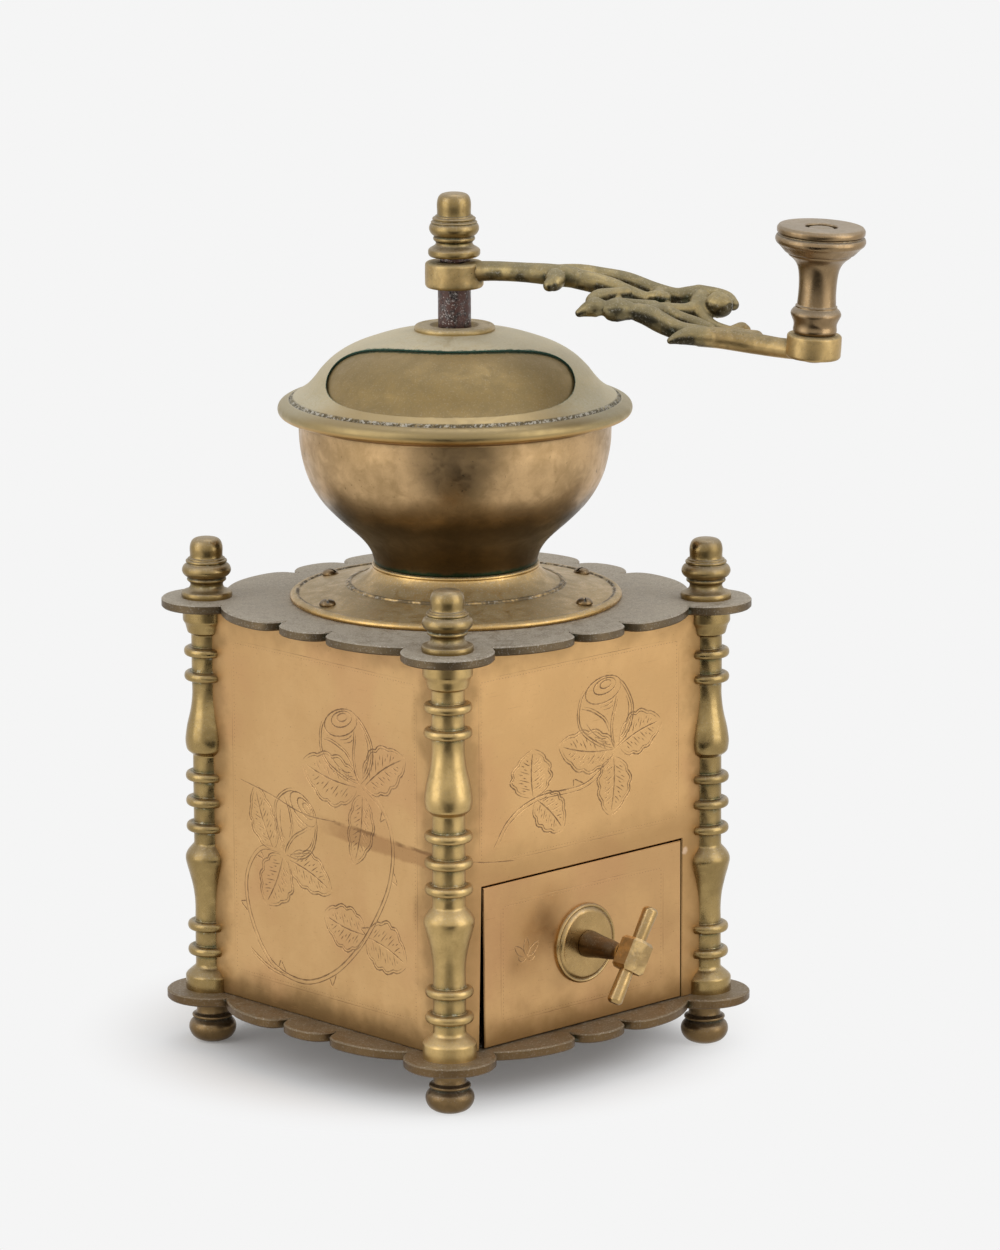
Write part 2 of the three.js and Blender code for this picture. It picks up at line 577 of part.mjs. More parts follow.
// The filling opening's outline in plan: a curved slot with round ends, facing +X before it is turned.
function hatchCutter() {
  const points = Array.from({ length: HATCH_POINTS }, (_, i) => {
    const t = (i * 2 * Math.PI) / HATCH_POINTS;
    const spread = Math.sign(Math.sin(t)) * Math.abs(Math.sin(t)) ** HATCH_END;
    const angle = HATCH_HALF_ANGLE * radians * spread;
    const r = HATCH_MIDDLE_R + HATCH_HALF_DEPTH * Math.cos(t);
    return new THREE.Vector2(r * Math.cos(angle), r * Math.sin(angle));
  });
  const height = DOME_CURVE.at(-1)[1] + OVERSHOOT;
  const prism = new THREE.ExtrudeGeometry(new THREE.Shape(points), { depth: height, bevelEnabled: false });
  return prism.rotateZ(HATCH_FACING * radians);
}

function dome() {
  const spigotHole = COLLAR_SPIGOT_R + CLEARANCE;
  const top = DOME_CURVE.at(-1)[1];
  const inside = inset(DOME_CURVE, DOME_WALL);
  const lipR = BOWL_CURVE.at(-1)[0] + LIP_WIDTH + CLEARANCE;
  const outline = [
    [DOME_INNER_R, 0], [lipR, 0], [lipR, RIM_PROFILE[0][1]], ...RIM_PROFILE, ...DOME_CURVE,
    [spigotHole, top], [spigotHole, top - DOME_WALL], ...inside.slice(1).reverse(),
    [DOME_INNER_R, inside[0][1]], [DOME_INNER_R, 0],
  ];
  return shapeOf(cut(solid(turned(outline, BIG_ROUND)), hatchCutter())).translate(0, 0, domeSeat);
}

// The shutter turns about the collar's spigot, just inside the dome.
function shutter() {
  const bore = COLLAR_SPIGOT_R + CLEARANCE;
  const depth = DOME_WALL + SHUTTER_GAP;
  const upper = inset(DOME_CURVE, depth).filter(([r]) => r < SHUTTER_EDGE_R);
  const lower = inset(DOME_CURVE, depth + SHUTTER_WALL).filter(([r]) => r < SHUTTER_EDGE_R);
  const top = upper.at(-1)[1];
  const edge = inset(DOME_CURVE, depth)[0][1];
  const outline = [
    [bore, top - SHUTTER_WALL], ...[...lower].reverse(), [SHUTTER_EDGE_R, edge - SHUTTER_WALL],
    [SHUTTER_EDGE_R, edge], ...upper, [bore, top], [bore, top - SHUTTER_WALL],
  ];
  const fan = new THREE.Shape();
  const spread = SHUTTER_HALF_ANGLE * radians;
  fan.absarc(0, 0, 2 * SHUTTER_EDGE_R, -spread, spread, false);
  fan.lineTo(0, 0);
  const height = DOME_CURVE.at(-1)[1];
  const options = { depth: height, bevelEnabled: false, curveSegments: SMALL_ROUND };
  const wedge = new THREE.ExtrudeGeometry(fan, options);
  const keep = join(wedge, cylinder(SHUTTER_HUB_R, 0, height, ROUND));
  const body = solid(turned(outline, BIG_ROUND)).intersect(keep);
  return shapeOf(body).rotateZ(HATCH_FACING * radians).translate(0, 0, domeSeat);
}

function domeCollar() {
  const outline = [
    [shaftBore, -COLLAR_SPIGOT_DEPTH], [COLLAR_SPIGOT_R, -COLLAR_SPIGOT_DEPTH], [COLLAR_SPIGOT_R, 0],
    [COLLAR_R, 0], [COLLAR_R, COLLAR_THICK - COLLAR_BEVEL], [COLLAR_R - COLLAR_BEVEL, COLLAR_THICK],
    [COLLAR_MOUTH_R, COLLAR_THICK], [COLLAR_MOUTH_R, 0], [shaftBore, -COLLAR_LEAD],
    [shaftBore, -COLLAR_SPIGOT_DEPTH],
  ];
  return turned(raise(outline, domeTop), ROUND);
}

function shutterRetainer() {
  const shutterBottom = domeTop - DOME_WALL - SHUTTER_GAP - SHUTTER_WALL;
  const top = shutterBottom - CLEARANCE;
  return tube(COLLAR_SPIGOT_R + CLEARANCE, RETAINER_R, top - RETAINER_THICK, top, ROUND);
}

function crankShaft() {
  const outline = [
    [0, shaftBottom], [PIVOT_R, shaftBottom], [PIVOT_R, shaftBottom + PIVOT_LENGTH],
    [CRANK_SHAFT_R, shaftBottom + PIVOT_LENGTH], [CRANK_SHAFT_R, crankSeat], [THREAD_R, crankSeat],
    [THREAD_R, nutSeat + THREAD_LENGTH], [0, nutSeat + THREAD_LENGTH],
  ];
  const side = TANG / 2;
  const tang = block(-side, side, -side, side, crankSeat - OVERSHOOT, crankTop - CLEARANCE);
  tang.rotateZ(CRANK_ANGLE * radians);
  const body = join(turned(outline, SMALL_ROUND), tang);
  return shapeOf(cut(body, burrPinHole()));
}

function burrPinHole() {
  return crossPin(BURR_PIN_R + CLEARANCE, HUB_R + OVERSHOOT);
}

function crossPin(radius, reach) {
  const pin = cylinder(radius, -reach, reach, SCREW_ROUND).rotateX(Math.PI / 2);
  return pin.translate(0, 0, hubBottom + HUB_H / 2);
}

// A cone whose rings are toothed and turn as they rise: [height, inner radius, outer radius] for each ring.
function toothedCone(rings, teeth, twist) {
  const count = 2 * teeth;
  const low = rings[0][0];
  const span = rings.at(-1)[0] - low;
  const at = ([z, inner, outer], i) => {
    const angle = (i * Math.PI) / teeth + (twist * (z - low)) / span;
    const r = i % 2 ? inner : outer;
    return [r * Math.cos(angle), r * Math.sin(angle), z];
  };
  return loft(rings.map((ring) => Array.from({ length: count }, (_, i) => at(ring, i))));
}

// A closed solid through loops of equally many points, with a flat end on the first and last loop.
function loft(loops) {
  const middle = (loop) => [0, 1, 2].map((k) => loop.reduce((sum, p) => sum + p[k], 0) / loop.length);
  const triangles = [];
  const first = loops[0];
  const last = loops.at(-1);
  first.forEach((p, i) => {
    const next = (i + 1) % first.length;
    triangles.push(middle(first), first[next], p);
    triangles.push(middle(last), last[i], last[next]);
    loops.slice(1).forEach((upper, k) => {
      const lower = loops[k];
      triangles.push(lower[i], lower[next], upper[next]);
      triangles.push(lower[i], upper[next], upper[i]);
    });
  });
  const geometry = new THREE.BufferGeometry();
  geometry.setAttribute("position", new THREE.Float32BufferAttribute(triangles.flat(), 3));
  return geometry;
}

function innerBurr() {
  const middleR = (CONE_BASE_R + CONE_TOP_R) / 2;
  const rings = [
    [coneBottom, CONE_BASE_R - CONE_TOOTH / 2, CONE_BASE_R],
    [coneBottom + CONE_SKIRT, CONE_BASE_R - 2 * CONE_TOOTH, CONE_BASE_R - CONE_TOOTH],
    [coneBottom + CONE_SHOULDER, middleR - 2 * CONE_TOOTH, middleR],
    [coneTop, CONE_TOP_R - CONE_TOOTH, CONE_TOP_R],
  ];
  const hub = cylinder(HUB_R, hubBottom, coneBottom + OVERSHOOT, ROUND);
  const bore = cylinder(shaftBore, hubBottom - OVERSHOOT, coneTop + OVERSHOOT, ROUND);
  const body = join(toothedCone(rings, CONE_TEETH, CONE_TWIST), hub);
  return shapeOf(cut(body, bore, burrPinHole()));
}

function burrHousing() {
  const flangeR = SCREW_CIRCLE_R + SCREW_HEAD_R + FLANGE_MARGIN;
  const flangeFloor = wallTop - HOUSING_FLANGE;
  const outline = [
    [0, ringBottom], [HOUSING_R, ringBottom], [HOUSING_R, flangeFloor], [flangeR, flangeFloor],
    [flangeR, wallTop], [0, wallTop],
  ];
  const crest = CONE_BASE_R + BURR_GAP;
  const rings = [
    [ringBottom - OVERSHOOT, crest, crest + RING_TOOTH],
    [guideFloor + OVERSHOOT, HOUSING_BORE_TOP - RING_TOOTH, HOUSING_BORE_TOP],
  ];
  const recess = cylinder(GUIDE_RING_R + CLEARANCE, guideFloor, wallTop + OVERSHOOT, BIG_ROUND);
  const bore = toothedCone(rings, RING_TEETH, 0);
  const holes = screwHoles(flangeFloor - OVERSHOOT, wallTop + OVERSHOOT);
  const gripEnd = ringBottom + BRIDGE_SCREW_GRIP + OVERSHOOT;
  const bridgeHole = cylinder(screwBore, ringBottom - OVERSHOOT, gripEnd, SCREW_ROUND);
  const bridgeHoles = bothSides(bridgeHole, bridgeScrewR);
  return shapeOf(cut(solid(turned(outline, BIG_ROUND)), recess, bore, ...holes, ...bridgeHoles));
}

function shaftGuide() {
  const top = guideFloor + GUIDE_THICK;
  const inner = HOUSING_BORE_TOP + CLEARANCE;
  const ring = tube(inner, GUIDE_RING_R, guideFloor, top, BIG_ROUND);
  const arm = () => block(0, inner + OVERSHOOT, -GUIDE_ARM / 2, GUIDE_ARM / 2, guideFloor, top);
  const boss = cylinder(GUIDE_BOSS_R, guideBossBottom, top, ROUND);
  const body = join(ring, ...around(arm, GUIDE_ARMS), boss);
  return shapeOf(cut(body, cylinder(shaftBore, guideBossBottom - OVERSHOOT, top + OVERSHOOT, ROUND)));
}

function lowerBridge() {
  const outer = HOUSING_R;
  const inner = HOUSING_R - BRIDGE_LEG;
  const barTop = bridgeBottom + BRIDGE_BAR;
  const side = BRIDGE_WIDTH / 2;
  const staple = new THREE.Shape([
    new THREE.Vector2(-outer, bridgeBottom), new THREE.Vector2(outer, bridgeBottom),
    new THREE.Vector2(outer, ringBottom), new THREE.Vector2(inner, ringBottom),
    new THREE.Vector2(inner, barTop), new THREE.Vector2(-inner, barTop),
    new THREE.Vector2(-inner, ringBottom), new THREE.Vector2(-outer, ringBottom),
  ]);
  const strap = new THREE.ExtrudeGeometry(staple, { depth: BRIDGE_WIDTH, bevelEnabled: false });
  strap.rotateX(Math.PI / 2).translate(0, side, 0);
  const bossBottom = bridgeBottom - BRIDGE_BOSS_DROP;
  const bossTop = barTop + BRIDGE_BOSS_RISE;
  const boss = cylinder(BRIDGE_BOSS_R, bossBottom, bossTop, ROUND);
  const bore = cylinder(PIVOT_R + CLEARANCE, bossBottom - OVERSHOOT, bossTop + OVERSHOOT, ROUND);
  const legHole = cylinder(screwBore, bridgeBottom - OVERSHOOT, ringBottom + OVERSHOOT, SCREW_ROUND);
  return shapeOf(cut(join(strap, boss), bore, ...bothSides(legHole, bridgeScrewR)));
}

function bridgeScrew(x) {
  const grip = BRIDGE_DROP + BRIDGE_SCREW_GRIP;
  return roundScrew(grip).rotateX(Math.PI).translate(x, 0, bridgeBottom);
}

function thrustBall() {
  const ball = new THREE.SphereGeometry(BALL_R, SMALL_ROUND, SCREW_ROUND).rotateX(Math.PI / 2);
  return ball.translate(0, 0, ballBottom + BALL_R);
}

function adjuster() {
  const bottom = ballBottom - ADJUSTER_LENGTH;
  const ring = (z) => [z, ADJUSTER_HEAD_R - ADJUSTER_KNURL, ADJUSTER_HEAD_R];
  const head = toothedCone([ring(bottom), ring(bottom + ADJUSTER_HEAD_H)], ADJUSTER_KNURLS, 0);
  return shapeOf(join(head, cylinder(ADJUSTER_R, bottom + OVERSHOOT, ballBottom, SMALL_ROUND)));
}

function hexNut(radius, bore, bottom, top) {
  const hole = cylinder(bore, bottom - OVERSHOOT, top + OVERSHOOT, SMALL_ROUND);
  return shapeOf(cut(solid(cylinder(radius, bottom, top, HEXAGON)), hole));
}

function lockNut() {
  const top = bridgeBottom - BRIDGE_BOSS_DROP;
  return hexNut(LOCK_NUT_R, ADJUSTER_R + CLEARANCE, top - LOCK_NUT_H, top);
}

// A cast stem of the arm through [along, side, height, radius] points, flattened and round at its ends.
function stem(points) {
  const place = ([along, side, height]) => new THREE.Vector3(along, -side, height);
  const line = new THREE.CatmullRomCurve3(points.map(place), false, "centripetal");
  const steps = (points.length - 1) * STEM_STEPS;
  const radiusAt = (t) => {
    const s = t * (points.length - 1);
    const k = Math.min(Math.floor(s), points.length - 2);
    return points[k][3] + (points[k + 1][3] - points[k][3]) * (s - k);
  };
  const ring = (centre, along, radius) => {
    const side = new THREE.Vector3(-along.y, along.x, 0).normalize();
    const up = new THREE.Vector3().crossVectors(along, side);
    return Array.from({ length: STEM_SIDES }, (_, i) => {
      const angle = ((i + 0.5) * 2 * Math.PI) / STEM_SIDES;
      const point = centre.clone();
      point.addScaledVector(side, radius * Math.cos(angle));
      point.addScaledVector(up, radius * ARM_FLAT * Math.sin(angle));
      return point.toArray();
    });
  };
  const loops = Array.from({ length: steps + 1 }, (_, i) => {
    const t = i / steps;
    return ring(line.getPoint(t), line.getTangent(t), radiusAt(t));
  });
  const endCap = (t, out) => {
    const along = line.getTangent(t);
    const radius = radiusAt(t);
    const centre = line.getPoint(t).addScaledVector(along, out * radius * STEM_CAP);
    return ring(centre, along, radius * STEM_CAP);
  };
  return loft([endCap(0, -1), ...loops, endCap(1, 1)]);
}

// Turns a piece drawn about the knob's own axis, its boss's top at z = 0, to its place on the arm.
function atKnob(geometry) {
  const bossTop = crankSeat + CRANK_BOSS_H / 2 - CRANK_DROP + KNOB_BOSS_H / 2;
  geometry.rotateY(KNOB_LEAN * radians).translate(CRANK_LENGTH, 0, bossTop);
  return geometry.rotateZ(CRANK_ANGLE * radians);
}

// The outline of a boss with bevelled edges.
function bevelled(radius, bottom, top) {
  return [
    [0, bottom], [radius - BOSS_BEVEL, bottom], [radius, bottom + BOSS_BEVEL],
    [radius, top - BOSS_BEVEL], [radius - BOSS_BEVEL, top], [0, top],
  ];
}

function crankArm() {
  const boss = turned(bevelled(CRANK_BOSS_R, 0, CRANK_BOSS_H), ROUND);
  const stems = Object.values(ARM_SCROLLS).map(stem);
  const cast = [boss, ...stems].map((g) => g.translate(0, 0, crankSeat).rotateZ(CRANK_ANGLE * radians));
  const knobBoss = atKnob(turned(bevelled(KNOB_BOSS_R, -KNOB_BOSS_H, 0), ROUND));
  const side = TANG / 2 + CLEARANCE;
  const square = block(-side, side, -side, side, crankSeat - OVERSHOOT, crankTop + OVERSHOOT);
  square.rotateZ(CRANK_ANGLE * radians);
  const pinHole = atKnob(cylinder(KNOB_PIN_R + CLEARANCE, -2 * KNOB_BOSS_H, KNOB_BOSS_H, SMALL_ROUND));
  const rivetSpace = atKnob(cylinder(RIVET_R + OVERSHOOT, -2 * KNOB_BOSS_H, -KNOB_BOSS_H, SMALL_ROUND));
  const knobSpace = atKnob(cylinder(KNOB_BOSS_R, 0, KNOB_BOSS_H, ROUND));
  return shapeOf(cut(join(...cast, knobBoss), square, pinHole, rivetSpace, knobSpace));
}

function knob() {
  const bore = KNOB_PIN_R + CLEARANCE;
  const recess = KNOB_HEIGHT - KNOB_RECESS;
  const outline = [
    [bore, 0], ...KNOB_PROFILE, [KNOB_TOP_R, KNOB_HEIGHT - KNOB_EDGE], [KNOB_TOP_R - KNOB_BEVEL, KNOB_HEIGHT],
    [KNOB_RECESS_R, KNOB_HEIGHT], [KNOB_RECESS_R, recess], [bore, recess], [bore, 0],
  ];
  return atKnob(turned(raise(outline, CLEARANCE), ROUND));
}

function knobPin() {
  const low = -KNOB_BOSS_H - CLEARANCE;
  const seat = KNOB_HEIGHT - KNOB_RECESS + 2 * CLEARANCE;
  const outline = [
    [0, low - RIVET_THICK], [RIVET_TOP_R, low - RIVET_THICK], [RIVET_R, low], [KNOB_PIN_R, low],
    [KNOB_PIN_R, seat], [RIVET_R, seat], [RIVET_TOP_R, seat + RIVET_THICK], [0, seat + RIVET_THICK],
  ];
  return atKnob(turned(outline, SMALL_ROUND));
}

function crankNut() {
  const bore = THREAD_R + CLEARANCE;
  const depth = THREAD_LENGTH + CLEARANCE;
  const outline = [
    [bore, 0], ...CRANK_NUT_PROFILE, [0, CRANK_NUT_HEIGHT], [0, depth], [bore, depth], [bore, 0],
  ];
  return turned(raise(outline, nutSeat), ROUND);
}

function drawerFace() {
  const side = DRAWER_WIDTH / 2;
  const slab = block(-side, side, -sheetPlane, -faceBack, drawerFloor, drawerFloor + DRAWER_HEIGHT);
  return shapeOf(cut(solid(slab), pullHole()));
}

// A turned piece about the pull's axis: its z becomes the distance out of the drawer's face.
function atPull(geometry) {
  return geometry.rotateX(Math.PI / 2).translate(0, -sheetPlane, pullHeight);
}

function pullHole() {
  const depth = DRAWER_FACE + 2 * TRAY_WALL;
  return atPull(cylinder(PULL_THREAD_R + CLEARANCE, -depth, ROSETTE_THICK, SMALL_ROUND));
}

function drawerTray() {
  const side = TRAY_WIDTH / 2;
  const top = drawerFloor + TRAY_HEIGHT;
  const back = TRAY_DEPTH - faceBack;
  const shell = block(-side, side, -faceBack, back, drawerFloor, top);
  const inside = block(
    TRAY_WALL - side, side - TRAY_WALL, TRAY_WALL - faceBack, back - TRAY_WALL, drawerFloor + TRAY_WALL,
    top + OVERSHOOT,
  );
  return shapeOf(cut(solid(shell), inside, pullHole()));
}

function rosette() {
  const bore = PULL_THREAD_R + CLEARANCE;
  const outline = [
    [bore, 0], [ROSETTE_R, 0], [ROSETTE_R, ROSETTE_THICK - ROSETTE_BEVEL],
    [ROSETTE_R - ROSETTE_BEVEL, ROSETTE_THICK], [bore, ROSETTE_THICK], [bore, 0],
  ];
  return atPull(turned(outline, ROUND));
}

// The stem is turned and ends in a filed block, which the cross bar passes through.
function pullStem() {
  const neckEnd = PULL_REACH - HUB_SIDE / 2;
  const thread = -DRAWER_FACE - TRAY_WALL - PULL_NUT_H - PULL_THREAD_END;
  const shank = turned(
    [
      [0, thread], [PULL_THREAD_R, thread], [PULL_THREAD_R, ROSETTE_THICK],
      ...raise(PULL_ROOT, ROSETTE_THICK), ...raise(PULL_NECK, neckEnd),
    ],
    SMALL_ROUND,
  );
  const side = HUB_SIDE / 2;
  const flat = side - HUB_CHAMFER;
  const corners = [
    [flat, -side], [side, -flat], [side, flat], [flat, side],
    [-flat, side], [-side, flat], [-side, -flat], [-flat, -side],
  ];
  const hubShape = new THREE.Shape(corners.map(([x, y]) => new THREE.Vector2(x, y)));
  const hub = new THREE.ExtrudeGeometry(hubShape, {
    depth: HUB_LENGTH - 2 * HUB_BEVEL,
    bevelThickness: HUB_BEVEL,
    bevelSize: HUB_BEVEL,
    bevelOffset: -HUB_BEVEL,
    bevelSegments: 1,
  });
  hub.translate(0, 0, HUB_BEVEL - HUB_LENGTH / 2);
  const bore = cylinder(BAR_R + CLEARANCE, -HUB_LENGTH, HUB_LENGTH, SMALL_ROUND);
  [hub, bore].forEach((g) => alongBar(g));
  return shapeOf(cut(join(shank, hub), bore).rotate([90, 0, 0])).translate(0, -sheetPlane, pullHeight);
}

// Tilts a piece drawn about +Z into the cross bar's direction, in the frame of the pull's axis.
function alongBar(geometry) {
  return geometry.rotateX(-Math.PI / 2).rotateZ(-BAR_TILT * radians).translate(0, 0, PULL_REACH);
}

function pullBar() {
  const end = BAR_LENGTH / 2;
  const outline = [
    [0, -end], [BAR_R - BAR_BEVEL, -end], [BAR_R, BAR_BEVEL - end],
    [BAR_R, end - BAR_BEVEL], [BAR_R - BAR_BEVEL, end], [0, end],
  ];
  return atPull(alongBar(turned(outline, SCREW_ROUND)));
}

function pullNut() {
  const top = -DRAWER_FACE - TRAY_WALL;
  return atPull(hexNut(PULL_NUT_R, PULL_THREAD_R + CLEARANCE, top - PULL_NUT_H, top));
}

// An angle strip along Y: an upright beside the tray and a foot on the bottom plate, on the +X side.
function drawerGuide() {
  const inner = TRAY_WIDTH / 2 + DRAWER_PLAY;
  const front = GUIDE_SETBACK - faceBack;
  const back = TRAY_DEPTH - faceBack - GUIDE_SETBACK;
  const upright = block(inner, inner + GUIDE_STRIP, front, back, PLATE, PLATE + GUIDE_STRIP_HEIGHT);
  const foot = block(inner, inner + GUIDE_FOOT, front, back, PLATE, PLATE + GUIDE_STRIP);
  return shapeOf(join(upright, foot));
}

function drawerStop() {
  const side = TRAY_WIDTH / 2 - DRAWER_PLAY;
  const front = TRAY_DEPTH - faceBack + CLEARANCE;
  const upright = block(-side, side, front, front + GUIDE_STRIP, PLATE, PLATE + STOP_HEIGHT);
  const foot = block(-side, side, front, front + STOP_FOOT, PLATE, PLATE + GUIDE_STRIP);
  return shapeOf(join(upright, foot));
}

// Finishes as photographed
const FINISHES = {
  dustyBrass: { color: 0x8c8064, roughness: 0.55, metalness: 0.8 },
  satinBrass: { color: 0xb9915f, roughness: 0.4, metalness: 0.9 },
  oliveBrass: { color: 0xa08a52, roughness: 0.35, metalness: 0.9 },
  bronzeBrass: { color: 0x80683c, roughness: 0.38, metalness: 0.9 },
  rustyIron: { color: 0x3f302c, roughness: 0.7, metalness: 0.6 },
  castIron: { color: 0x45433f, roughness: 0.7, metalness: 0.7 },
  steel: { color: 0x8d8d88, roughness: 0.4, metalness: 1 },
};

const mill = new THREE.Group();

function place(name, geometry, finish) {
  geometry.computeVertexNormals();
  const mesh = new THREE.Mesh(geometry, new THREE.MeshStandardMaterial(FINISHES[finish]));
  mesh.name = name;
  mill.add(mesh);
  return mesh;
}

// The four corners, counted anticlockwise from the one where x and y are positive.
const CORNERS = ["back_right", "back_left", "front_left", "front_right"];
CORNERS.forEach((corner, k) => {
  const turn = (k * Math.PI) / 2;
  place("foot_" + corner, foot().rotateZ(turn), "oliveBrass");
  place("column_" + corner, column().rotateZ(turn), "oliveBrass");
  place("tie_rod_" + corner, tieRod().rotateZ(turn), "steel");
  place("finial_" + corner, finial().rotateZ(turn), "oliveBrass");
});

const SIDES = ["front_panel", "right_panel", "back_panel", "left_panel"];
SIDES.forEach((side, k) => place(side, sheet(k === 0).rotateZ((k * Math.PI) / 2), "satinBrass"));

place("bottom_plate", plate(0, [...rodHoles(0), scribedSquare()]), "dustyBrass");
const underTop = wallTop - OVERSHOOT;
const overTop = deck + OVERSHOOT;
const throatHole = cylinder(footBoreR, underTop, overTop, BIG_ROUND);
const topHoles = [...rodHoles(wallTop), ...screwHoles(underTop, overTop), throatHole];
place("top_plate", plate(wallTop, topHoles), "dustyBrass");

place("hopper_foot", hopperFoot(), "bronzeBrass");
for (let k = 0; k < SCREW_COUNT; k += 1) {
  const grip = SCREW_SEAT + PLATE + HOUSING_FLANGE;
  const screw = roundScrew(grip).translate(SCREW_CIRCLE_R, 0, deck + SCREW_SEAT);
  const turn = SCREW_FACING * radians + (k * 2 * Math.PI) / SCREW_COUNT;
  place("hopper_screw_" + (k + 1), screw.rotateZ(turn), "bronzeBrass");
}
place("hopper_bowl", bowl(), "bronzeBrass");
place("dome_lid", dome(), "oliveBrass");
place("dome_shutter", shutter(), "oliveBrass");
place("dome_collar", domeCollar(), "bronzeBrass");
place("shutter_retainer", shutterRetainer(), "steel");

place("crank_shaft", crankShaft(), "rustyIron");
place("inner_burr", innerBurr(), "castIron");
place("burr_pin", crossPin(BURR_PIN_R, HUB_R - CLEARANCE), "steel");
place("burr_housing", burrHousing(), "castIron");
place("shaft_guide", shaftGuide(), "castIron");
place("lower_bridge", lowerBridge(), "castIron");
place("bridge_screw_left", bridgeScrew(-bridgeScrewR), "steel");
place("bridge_screw_right", bridgeScrew(bridgeScrewR), "steel");
place("thrust_ball", thrustBall(), "steel");
place("adjuster_screw", adjuster(), "steel");
place("adjuster_lock_nut", lockNut(), "steel");

place("crank_arm", crankArm(), "bronzeBrass");
place("crank_washer", tube(THREAD_R + CLEARANCE, WASHER_R, crankTop, nutSeat, SMALL_ROUND), "rustyIron");
place("crank_finial", crankNut(), "oliveBrass");
place("crank_knob", knob(), "bronzeBrass");
place("knob_pin", knobPin(), "bronzeBrass");

place("drawer_face", drawerFace(), "satinBrass");
place("drawer_tray", drawerTray(), "satinBrass");
place("drawer_rosette", rosette(), "satinBrass");
place("pull_stem", pullStem(), "bronzeBrass");
place("pull_bar", pullBar(), "bronzeBrass");
place("pull_nut", pullNut(), "steel");
place("drawer_guide_right", drawerGuide(), "steel");
const frontToBack = TRAY_DEPTH - 2 * faceBack;
place("drawer_guide_left", drawerGuide().rotateZ(Math.PI).translate(0, frontToBack, 0), "steel");
place("drawer_stop", drawerStop(), "steel");

export default mill;
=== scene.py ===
import math

import bmesh
import bpy
import numpy as np
from mathutils import Matrix, Vector, geometry


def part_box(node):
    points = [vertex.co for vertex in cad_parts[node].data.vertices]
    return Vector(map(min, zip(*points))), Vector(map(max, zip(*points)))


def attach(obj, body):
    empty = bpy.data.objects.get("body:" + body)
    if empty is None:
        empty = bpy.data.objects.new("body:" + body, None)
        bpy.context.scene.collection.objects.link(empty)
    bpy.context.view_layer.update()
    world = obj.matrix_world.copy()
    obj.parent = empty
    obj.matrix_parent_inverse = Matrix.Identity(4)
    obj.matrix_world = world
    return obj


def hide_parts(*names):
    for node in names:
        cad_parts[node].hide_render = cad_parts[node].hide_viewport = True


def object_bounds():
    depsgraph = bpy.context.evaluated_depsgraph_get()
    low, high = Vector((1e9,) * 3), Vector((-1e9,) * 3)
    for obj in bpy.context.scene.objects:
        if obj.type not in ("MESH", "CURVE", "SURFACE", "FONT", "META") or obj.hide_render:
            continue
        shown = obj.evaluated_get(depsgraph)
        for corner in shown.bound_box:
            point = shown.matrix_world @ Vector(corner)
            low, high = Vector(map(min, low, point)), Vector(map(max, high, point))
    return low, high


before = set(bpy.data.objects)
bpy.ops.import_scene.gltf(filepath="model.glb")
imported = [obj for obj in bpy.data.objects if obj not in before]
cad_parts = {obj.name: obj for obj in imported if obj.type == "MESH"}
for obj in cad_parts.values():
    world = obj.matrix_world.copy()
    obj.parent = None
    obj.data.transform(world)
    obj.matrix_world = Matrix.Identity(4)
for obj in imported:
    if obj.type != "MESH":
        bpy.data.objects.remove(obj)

# The looks of a brass box coffee mill, built round its frame. Lengths here are millimetres.
MM = 0.001
CAD_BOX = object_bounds()


def lowest(node):
    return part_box(node)[0][2] / MM


def highest(node):
    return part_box(node)[1][2] / MM


# Levels that the frame gives
GROUND = CAD_BOX[0][2] / MM
BOX_FLOOR = highest("bottom_plate")
BOX_TOP = lowest("top_plate")
DECK = highest("top_plate")
PLATE = highest("bottom_plate") - lowest("bottom_plate")
NECK = highest("hopper_foot")
DOME_SEAT = highest("hopper_bowl")
DOME_TOP = highest("dome_lid")
CRANK_TOP = lowest("crank_washer")
NUT_SEAT = highest("crank_washer")
HALF = (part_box("column_back_right")[0][0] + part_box("column_back_right")[1][0]) / 2 / MM
SHEET_PLANE = -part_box("front_panel")[0][1] / MM
DRAWER_FLOOR = lowest("drawer_face")
PULL_HEIGHT = (lowest("drawer_rosette") + highest("drawer_rosette")) / 2

# Fineness
ROUND = 112  # sides of large turned pieces
DOME_ROUND = 160
SMALL_ROUND = 64
CORNER_STEPS = 5
CURVE_STEPS = 7


# Shapes

def rounded(outline):
    """An outline of points whose third value says how far from a corner its round starts."""
    made = []
    for i, point in enumerate(outline):
        here = Vector(point[:2])
        reach = point[2] if len(point) > 2 and 0 < i < len(outline) - 1 else 0
        if not reach:
            made.append(here)
            continue
        before = Vector(outline[i - 1][:2]) - here
        after = Vector(outline[i + 1][:2]) - here
        start = here + before * min(0.5, reach / before.length)
        end = here + after * min(0.5, reach / after.length)
        made += [bend(start, here, end, k / CORNER_STEPS) for k in range(CORNER_STEPS + 1)]
    return [p for i, p in enumerate(made) if i == 0 or (p - made[i - 1]).length > 1e-4]


def bend(start, via, end, t):
    """A point of the curve that leaves start towards via and comes to end from there."""
    return start * (1 - t) ** 2 + via * 2 * t * (1 - t) + end * t * t


def flow(points, steps=CURVE_STEPS):
    """A smooth curve through points of any dimension."""
    points = [Vector(p) for p in points]
    ends = [2 * points[0] - points[1], *points, 2 * points[-1] - points[-2]]
    made = []
    for a, b, c, d in zip(ends, ends[1:], ends[2:], ends[3:]):
        second, third = 2 * a - 5 * b + 4 * c - d, 3 * b - a - 3 * c + d
        made += [0.5 * (2 * b + (c - a) * t + second * t ** 2 + third * t ** 3) for t in
                 (k / steps for k in range(steps))]
    return [*made, points[-1]]


